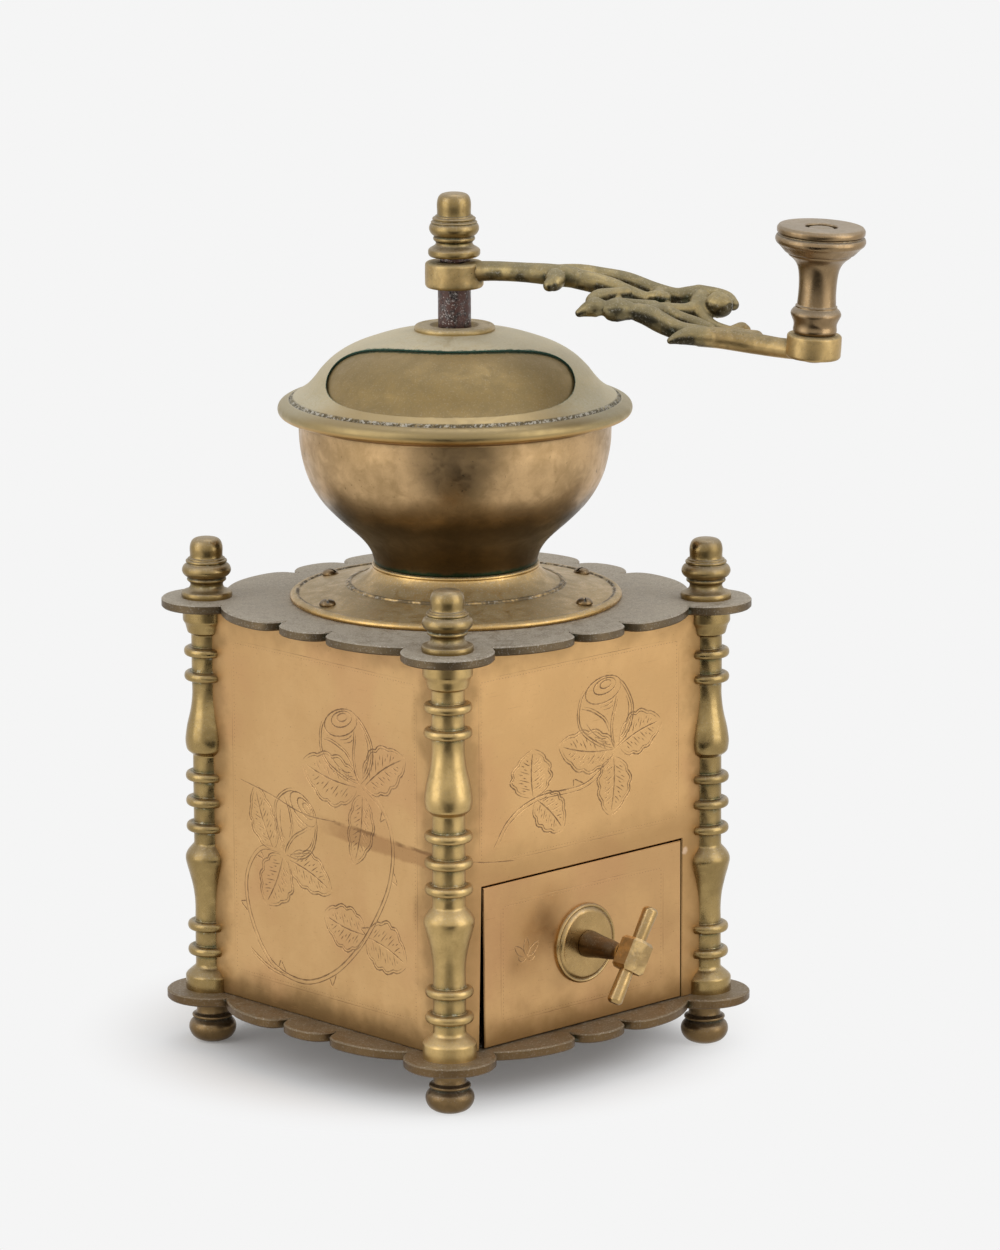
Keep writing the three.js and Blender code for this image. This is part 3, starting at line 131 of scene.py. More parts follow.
def lathe(outline, sides=SMALL_ROUND, ring=False):
    """An outline of radii and heights turned about +Z, closed on itself if it is a ring."""
    verts, rings = [], []
    for r, z in outline:
        start = len(verts)
        if r < 1e-6:
            verts.append(Vector((0, 0, z)))
            rings.append([start] * sides)
            continue
        for i in range(sides):
            verts.append(Vector((*polar(r, 2 * math.pi * i / sides), z)))
        rings.append(list(range(start, start + sides)))
    faces = []
    for low, high in zip(rings, [*rings[1:], rings[0]] if ring else rings[1:]):
        for i in range(sides):
            j = (i + 1) % sides
            face = list(dict.fromkeys((low[i], low[j], high[j], high[i])))
            if len(face) > 2:
                faces.append(face)
    return verts, faces


def turned(outline, place, sides=SMALL_ROUND, ring=False):
    """A turned shape with rounded corners, in its place."""
    return moved(lathe(rounded(outline), sides, ring), place)


def cylinder(radius, low, high):
    return lathe([(0, low), (radius, low), (radius, high), (0, high)])


def skin(loops):
    """A solid over loops that have as many points each, closed by the first and the last."""
    count = len(loops[0])
    faces = []
    for k in range(len(loops) - 1):
        for i in range(count):
            j = (i + 1) % count
            faces.append((k * count + i, k * count + j, (k + 1) * count + j, (k + 1) * count + i))
    last = (len(loops) - 1) * count
    faces += [tuple(reversed(range(count))), tuple(range(last, last + count))]
    return [p for loop in loops for p in loop], faces


def left_of(start, end):
    """The unit vector to the left of the way between two points of a plane."""
    along = (end - start).normalized()
    return Vector((-along.y, along.x))


def lefts(line):
    """The unit vectors to the left of an open curve, at each of its points."""
    last = len(line) - 1
    return [left_of(line[max(i - 1, 0)], line[min(i + 1, last)]) for i in range(last + 1)]


def beside(line, by):
    """A curve that keeps a distance to the left of another one."""
    return [here + left * by for here, left in zip(line, lefts(line))]


def rectangle(half_length, half_width):
    return [(-half_length, -half_width), (half_length, -half_width), (half_length, half_width),
            (-half_length, half_width)]


def prism(outline, bottom, top, chamfer=0.0):
    """A closed outline in plan as a solid between two heights, its upper and lower edges chamfered."""
    points = [Vector(p) for p in outline]
    levels = [(points, bottom), (points, top)]
    if chamfer:
        following = [*points[1:], points[0]]
        inner = [here + left_of(points[i - 1], after) * chamfer
                 for i, (here, after) in enumerate(zip(points, following))]
        levels = [(inner, bottom), (points, bottom + chamfer), (points, top - chamfer), (inner, top)]
    return skin([[Vector((p.x, p.y, z)) for p in loop] for loop, z in levels])


def moved(shape, matrix):
    verts, faces = shape
    return [matrix @ v for v in verts], faces


def polar(reach, angle):
    return reach * math.cos(angle), reach * math.sin(angle)


def spun(angle):
    return Matrix.Rotation(angle, 4, "Z")


def up(height):
    return Matrix.Translation((0, 0, height))


def joined(*shapes):
    verts, faces = [], []
    for some, theirs in shapes:
        faces += [tuple(i + len(verts) for i in face) for face in theirs]
        verts += some
    return verts, faces


def loose(name, shape, weld=True):
    """An object of a shape, with no finish and no body yet."""
    verts, faces = shape
    mesh = bpy.data.meshes.new(name)
    mesh.from_pydata([v * MM for v in verts], [], faces)
    work = bmesh.new()
    work.from_mesh(mesh)
    if weld:
        bmesh.ops.remove_doubles(work, verts=work.verts, dist=1e-7)
    bmesh.ops.recalc_face_normals(work, faces=work.faces)
    work.to_mesh(mesh)
    work.free()
    made = bpy.data.objects.new(name, mesh)
    bpy.context.scene.collection.objects.link(made)
    return made


def apply(obj):
    """Makes an object's modifiers part of its mesh."""
    graph = bpy.context.evaluated_depsgraph_get()
    mesh = bpy.data.meshes.new_from_object(obj.evaluated_get(graph))
    old = obj.data
    obj.modifiers.clear()
    obj.data = mesh
    bpy.data.meshes.remove(old)


def combine(obj, tool, operation):
    """Cuts an object by another one or joins them, and removes the other."""
    work = obj.modifiers.new(operation, "BOOLEAN")
    work.operation = operation
    work.solver = "EXACT"
    work.object = tool
    apply(obj)
    shape = tool.data
    bpy.data.objects.remove(tool)
    bpy.data.meshes.remove(shape)


def cut(obj, shape):
    combine(obj, loose("cutter", shape), "DIFFERENCE")


def fuse(obj, shape):
    combine(obj, loose("addition", shape), "UNION")


def finish_piece(obj, body, finish, node, sharp=32):
    """Shades a piece, gives it its material and its body, and puts it in the place of its CAD node."""
    mesh = obj.data
    mesh.shade_smooth()
    mesh.set_sharp_from_angle(angle=math.radians(sharp))
    mesh.materials.clear()
    mesh.materials.append(finish)
    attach(obj, body)
    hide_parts(node)


def piece(name, shape, body, finish, node):
    finish_piece(loose(name, shape), body, finish, node)


# Materials. A colour is a node's output, or what a screen shows, as red, green and blue from 0 to 255.

def paint(colour):
    """A screen's colour in the linear values that shaders take."""
    shares = [value / 255 for value in colour]
    return (*(s / 12.92 if s <= 0.04045 else ((s + 0.055) / 1.055) ** 2.4 for s in shares), 1.0)


class Field:
    """A number that varies over a surface."""

    def __init__(self, graph, socket):
        self.graph = graph
        self.socket = socket

    def __add__(self, other):
        return self.graph.math("ADD", self, other)

    def __sub__(self, other):
        return self.graph.math("SUBTRACT", self, other)

    def __rsub__(self, other):
        return self.graph.math("SUBTRACT", other, self)

    def __mul__(self, other):
        return self.graph.math("MULTIPLY", self, other)

    def __truediv__(self, other):
        return self.graph.math("DIVIDE", self, other)

    def __abs__(self):
        return self.graph.math("ABSOLUTE", self)


class Graph:
    """The nodes of the world or of one material."""

    def __init__(self, owner):
        self.owner = owner
        owner.use_nodes = True
        self.tree = owner.node_tree
        self.tree.nodes.clear()

    def add(self, kind, inputs=(), **settings):
        node = self.tree.nodes.new("ShaderNode" + kind)
        for key, value in settings.items():
            setattr(node, key, value)
        for key, value in dict(inputs).items():
            value = getattr(value, "socket", value)
            if isinstance(value, bpy.types.NodeSocket):
                self.tree.links.new(value, node.inputs[key])
            else:
                node.inputs[key].default_value = value
        return node

    def field(self, node, output=0):
        return Field(self, node.outputs[output])

    def math(self, operation, a, b=0.0):
        return self.field(self.add("Math", {0: a, 1: b}, operation=operation))

    def most(self, first, *others):
        for other in others:
            first = self.math("MAXIMUM", first, other)
        return first

    def between(self, value, low, high, to_low=0.0, to_high=1.0):
        """The value's smoothed place between two limits."""
        limits = {"From Min": low, "From Max": high, "To Min": to_low, "To Max": to_high}
        return self.field(self.add("MapRange", {"Value": value, **limits}, interpolation_type="SMOOTHSTEP"))

    def mix(self, share, under, over):
        under, over = (paint(c) if isinstance(c, tuple) else c for c in (under, over))
        return self.add("Mix", {0: share, 6: under, 7: over}, data_type="RGBA").outputs[2]


class Surface(Graph):
    """A material's nodes: its place on the piece in millimetres, and its colour so far."""

    def __init__(self, name):
        super().__init__(bpy.data.materials.new(name))
        place = self.add("TexCoord").outputs["Object"]
        self.in_mm = self.add("VectorMath", {0: place, "Scale": 1 / MM}, operation="SCALE").outputs[0]
        self.x, self.y, self.z = self.parts(self.in_mm)

    def parts(self, vector):
        node = self.add("SeparateXYZ", {0: vector})
        return [self.field(node, k) for k in range(3)]

    def measure(self, operation, **inputs):
        """A number made of the place or of another vector."""
        ends = {0: inputs.get("of", self.in_mm), 1: inputs.get("to", (0, 0, 0))}
        return self.field(self.add("VectorMath", ends, operation=operation), "Value")

    def stretched(self, *by):
        return self.add("VectorMath", {0: self.in_mm, 1: by}, operation="MULTIPLY").outputs[0]

    def distance(self, point):
        return self.measure("DISTANCE", to=tuple(point))

    def from_axis(self):
        return self.measure("LENGTH", of=self.stretched(1, 1, 0))

    def noise(self, size, detail=2, roughness=0.5, where=None, distortion=0.0):
        """Noise between 0 and 1, whose blotches are about the given size."""
        return self.field(self.add(
            "TexNoise", {"Vector": where or self.in_mm, "Scale": 1 / size, "Detail": detail,
                         "Roughness": roughness, "Distortion": distortion}))

    def patches(self, size, low, high, to_low=0.0, to_high=1.0, detail=2, roughness=0.5):
        return self.between(self.noise(size, detail, roughness), low, high, to_low, to_high)

    def ragged(self, size, spread):
        """Noise about zero that makes an edge uneven."""
        return (self.noise(size, 3) - 0.5) * spread

    def coat(self, share, colour):
        """Lays a colour over the colour so far."""
        self.colour = self.mix(share, self.colour, colour)

    def close(self, shader):
        self.add("OutputMaterial", {0: shader.outputs[0]})
        return self.owner

    def close_metal(self, metallic, roughness, relief, strength, depth=0.05):
        """Ends the material; the relief's strength is a share, its depth a length."""
        bump = self.add("Bump", {"Height": relief, "Strength": strength, "Distance": depth * MM})
        looks = {"Base Color": self.colour, "Metallic": metallic, "Roughness": roughness}
        return self.close(self.add("BsdfPrincipled", {**looks, "Normal": bump.outputs[0]}))


DUST = (178, 168, 152)
# Soot; it also serves as painted shade in the hollows and along the drawer's edges
SOOT_AND_SHADE = (38, 32, 20)
VERDIGRIS = (44, 78, 58)
# Dark verdigris; it also serves as painted shade along the hatch and on its walls
DEEP_VERDIGRIS_AND_SHADE = (22, 58, 42)
LIME = (200, 204, 186)
CRUMBS = (206, 200, 186)


def two_tones(g, light, dark, share, middle, zone):
    """Lays two tones of brass in patches and two others in a zone, and says where that is."""
    tone = g.between(g.noise(17, 3, 0.6) * 0.65 + middle * 0.35, 0.36, 0.64) * share
    g.colour = g.mix(tone, light, dark)
    if not zone:
        return None
    where, other_light, other_dark = zone
    inside = where(g)
    g.coat(inside, g.mix(tone, other_light, other_dark))
    return inside


def paint_underside_shade(g, upward, share, bright):
    """Paints shade on what faces down, but not on the bright zone, and strews ash over that painted shade."""
    shaded = g.between(upward, 0.5, 0.05) * g.patches(7, 0.4, 0.55, 0.25, 1) * (1.0 - bright)
    g.coat(shaded * share, (44, 42, 36))
    g.coat(shaded * g.patches(0.7, 0.56, 0.66, roughness=0.7) * 0.5, (150, 146, 132))


def shade_and_soil_hollows(g, fine, reach, shade_and_grime, green):
    """Darkens the hollows with painted shade and dirt, lays verdigris and salts in them, and says where the
    hollows are.
    """
    hidden = g.field(g.add("AmbientOcclusion", {"Distance": reach * MM}, samples=8, only_local=True), "AO")
    hollow = g.between(hidden + fine * 0.25, 1.04, 0.6)
    # painted shade and dirt, darkest where ambient occlusion finds the surface hidden
    g.coat(hollow * shade_and_grime, SOOT_AND_SHADE)
    g.coat(hollow * g.patches(6, 0.45, 0.58) * green, VERDIGRIS)
    g.coat(g.between(hollow, 0.2, 0.7) * g.patches(1.8, 0.56, 0.66, detail=3) * green, LIME)
    return hollow


def settle_dust(g, upward, middle, fine, dust, colour):
    """Lays dust and a few crumbs on what faces up, and says where they lie."""
    film = g.between(upward, 0.1, 0.95) * g.between(middle + fine, 0.7, 1.15, 0.55, 1) * dust
    cells = g.add("TexVoronoi", {"Vector": g.in_mm, "Scale": 0.55, "Randomness": 1.0})
    crumbs = g.between(g.field(cells, "Distance"), 0.22, 0.12) * g.between(upward, -0.2, 0.6)
    settled = g.most(film, crumbs * g.patches(9, 0.5, 0.6) * dust)
    g.coat(settled, colour)
    return settled


def metal(name, light, dark, rough=0.34, dust=0.3, shade_and_grime=0.8, dust_colour=DUST, ridges=0.0, pits=0.3,
          green=0.25, patches=0.5, reach=3.5, grain=0.15, under=0.0, zone=None, marks=None):
    """Old brass: two tones in patches, painted shade and dirt in its hollows, dust on what faces up, bright
    worn edges.
    """
    g = Surface(name)
    shape = g.add("NewGeometry")
    upward = g.parts(shape.outputs["Normal"])[2]
    middle = g.noise(4.5, 3, 0.6, distortion=0.6)
    fine = g.noise(0.8, 3, 0.6)
    inside = two_tones(g, light, dark, patches, middle, zone)
    g.coat(g.between(fine, 0.45, 0.75, 0, 0.2), dark)
    worn = g.between(g.field(shape, "Pointiness"), 0.52, 0.62) * g.between(middle, 0.3, 0.6)
    g.coat(worn * 0.45, light)
    # painted shade on what faces down, where under is given
    if under:
        paint_underside_shade(g, upward, under, inside)
    hollow = shade_and_soil_hollows(g, fine, reach, shade_and_grime, green)
    settled = settle_dust(g, upward, middle, fine, dust, dust_colour)
    grains = g.patches(0.55, 0.57, 0.7, detail=1) * g.between(upward, -0.4, 0.8)
    g.coat(grains * grain, (214, 208, 196))
    pitted = g.patches(0.5, 0.66, 0.74, roughness=0.7)
    g.coat(pitted * pits, SOOT_AND_SHADE)
    if marks:
        settled = marks(g, settled)
    roughness = g.between(middle, 0.3, 0.7, rough - 0.05, rough + 0.08) + settled * 0.4 + hollow * 0.2
    relief = fine * 0.12 + pitted * (-0.6 * pits) + middle * 0.7 + grains * (0.5 * grain)
    if ridges:
        relief = relief + g.noise(0.35, 2, 0.6, where=g.stretched(0, 0, 1)) * ridges
    return g.close_metal(1.0 - settled * 0.9, roughness - worn * 0.08, relief, 0.5)


def stain_edges(g, stain):
    """Stains a sheet where it meets the plates and the columns, and says where that is."""
    across = g.math("MINIMUM", abs(g.x), abs(g.y))
    ragged = g.ragged(9, 14)
    low = g.between(g.z + ragged, 17, 3)
    high = g.between(g.z + ragged, 118, 129)
    beside_column = g.between(across + ragged, 42, 51)
    stained = g.most(low * 0.85, beside_column * 0.6, high * 0.45)
    g.coat(stained, stain)
    return stained


def engraved_sheet(name, light, dark, stain, marks=None, edge=0.0):
    """Satin sheet brass: brown in its cut lines, stained where it meets its neighbours."""
    g = Surface(name)
    broad = g.noise(26)
    middle = g.noise(5, 3, 0.6, distortion=0.5)
    fine = g.noise(0.9, 3, 0.6)
    g.colour = g.mix(g.between(broad * 0.7 + middle * 0.3, 0.38, 0.62) * 0.4, light, dark)
    g.coat(g.patches(34, 0.52, 0.66) * 0.22, (186, 134, 96))
    stained = stain_edges(g, stain)
    hairs = g.between(g.noise(0.5, 3, 0.7, where=g.stretched(0.06, 0.06, 1)), 0.55, 0.8)
    g.coat(hairs * 0.45, dark)
    scratches = g.between(g.noise(0.5, 2, 0.6, where=g.stretched(0.03, 0.03, 2.2)), 0.66, 0.74)
    g.coat(scratches * g.between(middle, 0.5, 0.62) * 0.4, (128, 92, 54))
    if marks:
        marks(g)
    depth = g.field(g.add("Attribute", attribute_name="cut"), "Fac")
    line = g.between(depth, 0.03, 0.4) * g.between(middle, 0.35, 0.6, 0.55, 1)
    g.coat(line * 0.8, (110, 80, 48))
    g.coat(g.patches(0.7, 0.67, 0.74, roughness=0.6) * 0.5, (96, 66, 36))
    # Painted shade and patina: faces that turn sideways, such as the drawer's edges in their gaps, are
    # darkened
    if edge:
        outward = g.parts(g.add("NewGeometry").outputs["True Normal"])[1]
        g.coat(g.between(abs(outward), 0.4, 0.2, 0, edge), SOOT_AND_SHADE)
    roughness = g.between(middle, 0.3, 0.7, 0.3, 0.38) + stained * 0.15 + line * 0.2
    return g.close_metal(1.0 - line * 0.5, roughness, broad * 3 + fine * 0.15 + hairs * 0.12, 0.6)


def iron(name, light, dark, rust, rusted, rough, flecks=0.0):
    """Iron with rust in patches and a grey sheen between them."""
    g = Surface(name)
    patch = g.noise(2.6, 4, 0.65)
    fine = g.noise(0.5, 3, 0.7)
    g.colour = g.mix(g.between(fine, 0.35, 0.7), dark, light)
    rusty = g.between(patch + fine * 0.2, 0.62 - 0.2 * rusted, 0.72 - 0.1 * rusted)
    g.coat(rusty, rust)
    white = g.patches(0.7, 0.58, 0.66, roughness=0.7) * g.patches(4, 0.42, 0.56) * flecks
    g.coat(white, (208, 200, 192))
    roughness = g.between(patch, 0.3, 0.7, rough, rough + 0.25)
    return g.close_metal(1.0 - g.most(rusty * 0.7, white), roughness, fine + patch, 0.6, 0.12)


# The hatch in the dome, the crank and the pull, which the marks below need too
HATCH_FACING = math.radians(222.7)
HATCH_HALF_ANGLE = math.radians(72)
HATCH_MIDDLE_R = 36.9
HATCH_HALF_DEPTH = 11.7
CRANK_ANGLE = math.radians(-68.05)
CRANK_LENGTH = 121.5
CRANK_BOSS = 8.1  # thickness
KNOB_BOSS = 7.4
KNOB_DROP = 14.6  # of the knob's boss below the crank's
KNOB_LEAN = math.radians(3.5)
CRANK_SEAT = CRANK_TOP - CRANK_BOSS
AT_CRANK = spun(CRANK_ANGLE) @ up(CRANK_SEAT)
AT_KNOB = (
    AT_CRANK
    @ Matrix.Translation((CRANK_LENGTH, 0, CRANK_BOSS / 2 - KNOB_DROP + KNOB_BOSS / 2))
    @ Matrix.Rotation(KNOB_LEAN, 4, "Y")
)
FOOT_GROOVES = ((34.2, 1.1), (50.2, 0.8))  # radius and half width
DOME_GROOVE_R = 51.8
CHIP = (44.6, -SHEET_PLANE, 51)  # beside the drawer's mouth
SMUDGES = (((-16, 41), 9, 0.55), ((-30, 28), 6, 0.35), ((-9, 21), 8, 0.4), ((34, 30), 12, 0.2))
BOSS_ZONES = (((0, 0, CRANK_SEAT + 4), 14), (AT_KNOB @ Vector((0, 0, -KNOB_BOSS / 2)), 36))
STEM_END = -SHEET_PLANE - 16.25  # where the pull's stem meets its hub


def stain_band(g):
    """The brown band that runs off the left side's upper stem towards the front."""
    ragged = g.ragged(4, 3)
    middle = g.z + ragged * 0.6 + g.y * -0.06
    near = g.between(g.y + ragged * 3, 4, -12)
    g.coat(g.between(abs(middle - 67.2), 3.2, 1.9) * near * 0.5, (150, 108, 70))
    edge = g.between(abs(middle - 69.6), 0.9, 0.2) * near * g.patches(6, 0.4, 0.6)
    g.coat(edge * 0.6, (108, 76, 48))


def drawer_smudges(g):
    """Brown smudges that fingers left on the drawer beside its pull."""
    for (x, z), radius, strength in SMUDGES:
        off = g.distance((x, -SHEET_PLANE, z)) + g.noise(7) * 6
        g.coat(g.between(off, radius + 4, 1, 0, strength), (126, 96, 60))


def front_marks(g):
    """Brown over the drawer, and a bright chip at the corner of its mouth."""
    g.coat(g.between(g.z + g.ragged(9, 12), 70, 58, 0, 0.5), (158, 122, 78))
    g.coat(g.between(g.distance(CHIP) + g.noise(1.5, 3) * 2, 2.6, 1.6, 0, 0.7), (226, 196, 166))


def hatch_rim(g):
    """1 on the line where the shutter meets the dome, painted as verdigris and shade, widest along its upper
    edge.
    """
    ahead = g.add("VectorRotate", {"Vector": g.in_mm, "Angle": -HATCH_FACING}, rotation_type="Z_AXIS")
    x, y, _ = g.parts(ahead.outputs[0])
    outwards = (g.from_axis() - HATCH_MIDDLE_R) / HATCH_HALF_DEPTH
    sideways = g.math("POWER", abs(g.math("ARCTAN2", y, x)) / HATCH_HALF_ANGLE, 3)
    off = abs(outwards * outwards + sideways - 1)
    width = g.between(outwards, -0.8, -0.1, 0.12, 0.02)
    return g.between(off / (width * g.patches(1.6, 0.35, 0.65, 0.3, 1.5, 4, 0.7)), 1.0, 0.4)


def bowl_shade_and_marks(g, settled):
    """The bowl darkens towards its foot in a painted dark reflection, and has a few dark spots and a green
    line where it stands.
    """
    height = g.z - NECK
    # painted dark reflection over the lower bowl
    g.coat(g.between(height + g.ragged(12, 10), 29, 16) * 0.9, (64, 52, 32))
    spots = g.patches(1.6, 0.68, 0.74, roughness=0.6) * g.patches(14, 0.45, 0.6)
    g.coat(spots * 0.6, (60, 48, 28))
    g.coat(g.between(height + g.noise(3) * 1.6, 2.6, 1.4) * 0.8, DEEP_VERDIGRIS_AND_SHADE)
    return settled


def foot_marks(g, settled):
    """Dirt and white crumbs lie in the two turned lines of the hopper's foot."""
    reach = g.from_axis()
    for at, width in FOOT_GROOVES:
        line = g.between(abs(reach - at), width, 0.4 * width)
        black = line * g.patches(5, 0.36, 0.56, detail=3, roughness=0.7)
        white = line * g.patches(1.3, 0.52, 0.6, detail=4, roughness=0.75) * g.patches(16, 0.42, 0.58)
        g.coat(black * 0.7, SOOT_AND_SHADE)
        g.coat(white * 0.8, CRUMBS)
        settled = g.most(settled, black, white)
    return settled


def dome_marks(g, settled):
    """Green along the hatch, as verdigris and painted shade, brown before it, a painted highlight along the
    rim's lower edge with the rim darker above, and white dust in the groove inside the rim.
    """
    rim = hatch_rim(g)
    # verdigris and painted shade along the hatch's line
    g.coat(rim * g.patches(1.3, 0.36, 0.56, 0.35, 0.95, 3, 0.7), DEEP_VERDIGRIS_AND_SHADE)
    g.coat(rim * g.patches(1.1, 0.47, 0.56, detail=3, roughness=0.75) * 0.75, (142, 156, 132))
    walls = g.field(g.add("Attribute", attribute_name="hatch_wall"), "Fac")
    # painted shade and verdigris on the hatch's walls
    g.coat(walls, DEEP_VERDIGRIS_AND_SHADE)
    height, reach = g.z - DOME_SEAT, g.from_axis()
    facing = (*polar(1, HATCH_FACING), 0)
    rubbed = g.between(g.measure("DOT_PRODUCT", to=facing), 24, 42) * g.between(height, 17, 8)
    g.coat(rubbed * 0.75, (162, 138, 92))
    on_rim = g.between(reach, 52.2, 53.2)
    # A painted highlight along the rim's lower edge, and the rim darker above it
    g.coat(on_rim * g.between(height, 0.9, -0.3) * 0.7, (206, 164, 98))
    g.coat(on_rim * g.between(height, 0.2, 1.8) * 0.4, (122, 108, 76))
    groove = g.between(abs(reach - DOME_GROOVE_R), 1.0, 0.35)
    g.coat(groove * g.patches(2.2, 0.34, 0.5, detail=3, roughness=0.7) * 0.75, SOOT_AND_SHADE)
    g.coat(groove * g.patches(1.2, 0.5, 0.58, detail=4, roughness=0.75) * 0.8, CRUMBS)
    return g.most(settled * (1.0 - rubbed * 0.7), rim, groove, walls)


def shutter_marks(g, settled):
    rim = hatch_rim(g)
    # verdigris and painted shade along the hatch's line
    g.coat(rim * 0.8, DEEP_VERDIGRIS_AND_SHADE)
    return g.most(settled, rim)


def near_bosses(g):
    """1 on the arm's two bosses."""
    return g.most(*(g.between(g.distance(centre) + g.noise(4) * 6, reach + 3, reach - 3)
                    for centre, reach in BOSS_ZONES))


def on_hub(g):
    """1 on the pull's hub, 0 on its stem."""
    return g.between(g.y, STEM_END + 0.75, STEM_END - 0.75)


PANEL = engraved_sheet("engraved_panel_brass", (204, 164, 112), (184, 144, 94), (122, 96, 60))
LEFT_PANEL = engraved_sheet("stained_panel_brass", (206, 166, 114), (186, 146, 96), (122, 96, 60), stain_band)
FRONT_PANEL = engraved_sheet("front_panel_brass", (210, 168, 114), (188, 148, 98), (126, 100, 62),
                             front_marks)
DRAWER = engraved_sheet("engraved_drawer_brass", (200, 159, 108), (176, 137, 94), (140, 108, 66),
                        drawer_smudges, edge=0.9)
COLUMN = metal("turned_column_brass", (196, 166, 110), (144, 120, 74), rough=0.36, dust=0.2, ridges=0.3,
               green=0.9, reach=2.8, shade_and_grime=1)
# A darker copy of the column brass, as painted shade, for the three columns away from the camera
SHADED_COLUMN = metal("dull_column_brass", (166, 141, 92), (118, 98, 61), rough=0.27, dust=0.2, ridges=0.3,
                    green=0.8, reach=2.8, shade_and_grime=1)
FINIAL = metal("turned_finial_brass", (156, 132, 86), (108, 91, 57), rough=0.32, dust=0.35, ridges=0.4,
               shade_and_grime=1, reach=2.8, green=0.6, pits=0.4)
FOOT = metal("dark_foot_brass", (126, 102, 68), (84, 68, 46), dust=0.2, ridges=0.3)
SCALLOP = metal("dusty_plate_brass", (112, 96, 73), (80, 68, 52), rough=0.45, dust=0.85, shade_and_grime=0.5,
                dust_colour=(187, 178, 162), pits=0.7, grain=0.6)
LOW_SCALLOP = metal("brown_plate_brass", (112, 90, 62), (80, 64, 44), rough=0.42, dust=0.5, shade_and_grime=0.5,
                    dust_colour=(160, 146, 122), pits=0.7, grain=0.3)
HOPPER_FOOT = metal("hopper_foot_brass", (206, 168, 104), (156, 128, 80), rough=0.28, dust=0.62, ridges=0.5,
                    dust_colour=(162, 149, 119), grain=0.3, marks=foot_marks)
BOWL = metal("bowl_brass", (198, 164, 119), (156, 128, 88), dust=0.15, patches=0.8, ridges=0.2, grain=0.1,
             marks=bowl_shade_and_marks)
DOME = metal("dome_brass", (182, 163, 118), (146, 133, 96), rough=0.4, dust=0.65, ridges=0.6,
             dust_colour=(206, 199, 178), reach=2.2, green=0.4, marks=dome_marks)
SHUTTER = metal("shutter_brass", (148, 124, 78), (114, 96, 60), rough=0.36, dust=0.5, ridges=0.6,
                dust_colour=(144, 127, 90), grain=0.08, marks=shutter_marks)
COLLAR = metal("dusty_collar_brass", (176, 152, 104), (136, 118, 80), rough=0.4, dust=0.75, ridges=0.4,
               dust_colour=(180, 166, 138), grain=0.3)
# The arm carries painted shade on what faces down
ARM = metal("cast_arm_brass", (174, 153, 104), (116, 106, 78), rough=0.42, dust=0.6, pits=0.8, reach=5,
            dust_colour=(150, 140, 109), patches=0.9, under=0.85, grain=0.2, green=0.45,
            zone=(near_bosses, (196, 166, 112), (154, 130, 86)))
KNOB = metal("knob_bronze", (152, 127, 94), (108, 90, 64), rough=0.3, dust=0.5, ridges=0.5,
             dust_colour=(170, 161, 145))
PULL = metal("pull_brass", (186, 154, 102), (132, 107, 68), rough=0.27)
STEM = metal("pull_stem_bronze", (108, 86, 58), (72, 58, 40), dust=0.25,
             zone=(on_hub, (216, 182, 124), (168, 138, 90)))
TRAY = metal("tray_brass", (186, 150, 98), (146, 116, 74), rough=0.36, dust=0.2, reach=8)
SHAFT = iron("rusty_shaft_iron", (118, 110, 106), (46, 41, 40), (84, 56, 48), 0.6, 0.28, flecks=0.7)
CAST = iron("cast_burr_iron", (104, 100, 96), (56, 54, 52), (84, 62, 48), 0.3, 0.42)
STEEL = iron("steel", (170, 168, 164), (120, 118, 114), (96, 78, 60), 0.15, 0.26)


# Camera, floor and light

AIM = Vector((0, 0, 122.3))
CAMERA_FACING = math.radians(-43.06081)  # azimuth of the camera, 0 looks along +Y
CAMERA_HEIGHT = math.radians(12.28609)
CAMERA_ROLL = math.radians(0.3058)
CAMERA_DISTANCE = 1969.2
CAMERA_LENS = 178.606  # on a 36 mm frame, along the picture's long side
CAMERA_SHIFT = 0.03506


def direction(azimuth, elevation):
    """From the object towards an azimuth and an elevation, in radians."""
    level = math.cos(elevation)
    return Vector((math.sin(azimuth) * level, -math.cos(azimuth) * level, math.sin(elevation)))


def make_camera():
    data = bpy.data.cameras.new("photo_camera")
    data.lens = CAMERA_LENS
    data.sensor_width = 36
    data.shift_x = CAMERA_SHIFT
    data.clip_end = 50
    camera = bpy.data.objects.new("photo_camera", data)
    back = direction(CAMERA_FACING, CAMERA_HEIGHT)
    level = Vector((*polar(1, CAMERA_FACING), 0))
    upright = back.cross(level)
    right = level * math.cos(CAMERA_ROLL) - upright * math.sin(CAMERA_ROLL)
    above = level * math.sin(CAMERA_ROLL) + upright * math.cos(CAMERA_ROLL)
    place = (AIM + back * CAMERA_DISTANCE) * MM
    camera.matrix_world = Matrix.Translation(place) @ Matrix((right, above, back)).transposed().to_4x4()
    bpy.context.scene.collection.objects.link(camera)
    bpy.context.scene.camera = camera


BACKDROP = paint((245, 245, 245))
FLOOR_PAINT = paint((248, 248, 248))
CLOTH_COLOUR = paint((52, 50, 47))
WORLD_LIGHT = 0.55
FLOOR_HALF = 6000
SHADOW_SHIFT = (-12, -11)  # of the shadow's middle: to the camera and to its right
SHADOW_REACH = (60, 118)
CLOTH = ((170, 34), (1600, 1120))  # distance before the mill and half width, near and far
LIGHTS = (  # azimuth from the camera, elevation, distance, width, height, brightness
    ("left_soft_box", -62, 20, 950, 700, 1080, 1.35),
    ("right_soft_box", 62, 20, 950, 700, 1080, 1.55),
    ("top_soft_box", 150, 72, 1500, 1200, 900, 1.2),
)


def seen_ray(g):
    """1 for a ray from the camera and for its mirror images."""
    path = g.add("LightPath")
    kinds = ("Is Camera Ray", "Is Glossy Ray", "Is Transmission Ray")
    return g.most(*(g.field(path, kind) for kind in kinds))


